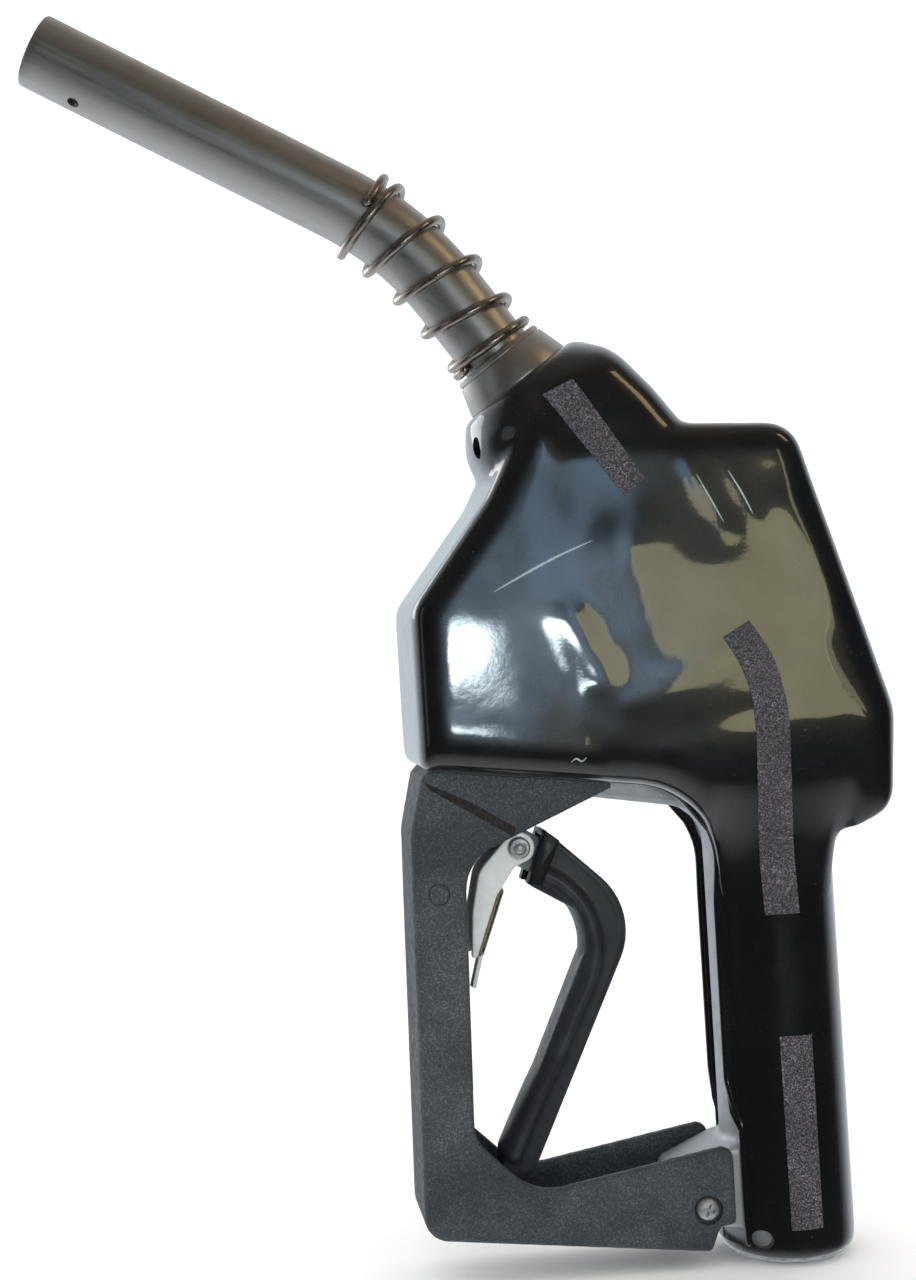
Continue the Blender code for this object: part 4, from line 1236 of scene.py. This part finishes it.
def build_lights():
    face = (-40.0, -27.0, 180.0)
    area_light("window_haze", (92.0, -1110.0, 168.0), face, 340.0, 400.0, (0.33, 0.64, 1.0), 1.5, True)
    area_light("window_sky", (176.0, -1105.0, 270.0), face, 120.0, 260.0, (0.4, 0.68, 1.0), 2.2, True)
    area_light("window_pane", (70.0, -1090.0, 152.0), face, 116.0, 104.0, (0.78, 0.92, 1.0), 60.0, True)
    area_light("window_sill", (56.0, -1090.0, 72.0), face, 100.0, 38.0, (0.78, 0.92, 1.0), 30.0, True)
    area_light("warm_wall", (300.0, -1000.0, 150.0), face, 230.0, 210.0, (1.0, 0.92, 0.56), 3.2)
    area_light("warm_edge", (440.0, -980.0, 250.0), face, 60.0, 300.0, (1.0, 0.93, 0.6), 2.4)
    area_light("warm_lamp", (500.0, -300.0, 700.0), face, 130.0, 300.0, (1.0, 0.72, 0.4), 3.4)
    grip = (0.0, 0.0, 100.0)
    area_light("left_strip", (-900.0, -300.0, 300.0), grip, 260.0, 700.0, (0.85, 0.94, 1.0), 0.4)
    body = (0.0, 0.0, 150.0)
    area_light("back_left", (-700.0, 900.0, 500.0), body, 500.0, 500.0, (1.0, 1.0, 1.0), 2.0)


def build_world():
    """A white surround. What glossy surfaces reflect of it is dark in front, as in a deep room."""
    world = bpy.data.worlds.new("studio")
    bpy.context.scene.world = world
    world.use_nodes = True
    tree = world.node_tree
    tree.nodes.clear()

    def node(kind, **settings):
        return new_node(tree, kind, **settings)

    def ramp(value, stops):
        spread = node("ShaderNodeMapRange")
        spread.inputs["From Min"].default_value = -1.0
        spread.inputs["From Max"].default_value = 1.0
        tree.links.new(value, spread.inputs["Value"])
        made = node("ShaderNodeValToRGB")
        elements = made.color_ramp.elements
        elements.remove(elements[1])
        for index, (position, colour) in enumerate(stops):
            element = elements[0] if index == 0 else elements.new((position + 1.0) / 2.0)
            element.position = (position + 1.0) / 2.0
            element.color = (*colour, 1.0)
        tree.links.new(spread.outputs["Result"], made.inputs["Fac"])
        return made.outputs["Color"]

    split = node("ShaderNodeSeparateXYZ")
    tree.links.new(node("ShaderNodeTexCoord").outputs["Generated"], split.inputs["Vector"])
    front = ramp(split.outputs["Z"], [
        (-1.0, (0.8, 0.82, 0.86)),
        (-0.74, (0.5, 0.52, 0.56)),
        (-0.5, (0.04, 0.045, 0.055)),
        (-0.2, (0.006, 0.007, 0.009)),
        (0.15, (0.006, 0.007, 0.009)),
        (0.45, (0.035, 0.027, 0.02)),
        (0.8, (0.07, 0.054, 0.04)),
        (1.0, (0.22, 0.19, 0.16)),
    ])
    back = ramp(split.outputs["Z"], [
        (-1.0, (0.8, 0.85, 0.9)),
        (0.35, (0.66, 0.75, 0.82)),
        (0.7, (0.6, 0.6, 0.6)),
        (1.0, (0.3, 0.27, 0.24)),
    ])
    depth = ramp(split.outputs["Y"], [(0.05, (0.0, 0.0, 0.0)), (0.5, (1.0, 1.0, 1.0))])
    reflected = node("ShaderNodeMix", data_type="RGBA")
    tree.links.new(depth, reflected.inputs[0])
    tree.links.new(front, reflected.inputs[6])
    tree.links.new(back, reflected.inputs[7])
    rays = node("ShaderNodeLightPath")
    colour = node("ShaderNodeMix", data_type="RGBA")
    tree.links.new(rays.outputs["Is Glossy Ray"], colour.inputs[0])
    colour.inputs[6].default_value = (1.25, 1.25, 1.25, 1.0)
    tree.links.new(reflected.outputs[2], colour.inputs[7])
    background = node("ShaderNodeBackground")
    tree.links.new(colour.outputs[2], background.inputs["Color"])
    output = node("ShaderNodeOutputWorld")
    tree.links.new(background.outputs["Background"], output.inputs["Surface"])
    bpy.context.scene.view_settings.view_transform = "Standard"


def build_floor():
    radius = 6000.0
    drop = CAD_BOX[0][2] / MM - 1.0
    points = [
        (radius * math.cos(2.0 * math.pi * step / 96), radius * math.sin(2.0 * math.pi * step / 96), drop)
        for step in range(96)
    ]
    floor = mesh_object("floor", points, [tuple(range(96))])
    f = Finish("pale_floor", (0.93, 0.93, 0.92), 0.7)
    f.colour(f.blend(f.noise(160.0, 2.0), (0.91, 0.91, 0.905), (0.95, 0.95, 0.945)))
    floor.data.materials.append(f.material)
    floor.visible_glossy = False


def build_camera():
    """A long view from the front left, rolled a little, as a hand-held picture would be."""
    spot = Vector((-155.65, -520.0, 182.23))
    yaw = math.radians(3.19)
    roll = math.radians(3.6)
    forward = Vector((math.sin(yaw), math.cos(yaw), 0.0))
    right = Vector((math.cos(yaw), -math.sin(yaw), 0.0))
    rolled = Matrix.Rotation(roll, 3, "Y")
    axes = Matrix((rolled @ right, rolled @ UP, rolled @ -forward)).transposed()
    camera = bpy.data.cameras.new("camera")
    camera.sensor_width = 36.0
    camera.lens = 52.08
    camera.shift_x = 0.12
    camera.clip_start = 0.01
    obj = added("camera", camera)
    obj.matrix_world = Matrix.Translation(spot * MM) @ axes.to_4x4()
    bpy.context.scene.camera = obj


build_camera()
build_spout()
build_spout_spring()
build_collar()
outer_surface = build_insulator()
build_slot_beads(outer_surface)
build_stripes(outer_surface)
build_witness_lines(outer_surface)
build_casting()
build_inlet_thread()
build_lever_grip()
build_clip()
build_rivet()
build_guard()
build_guard_screw()
build_world()
build_lights()
build_floor()
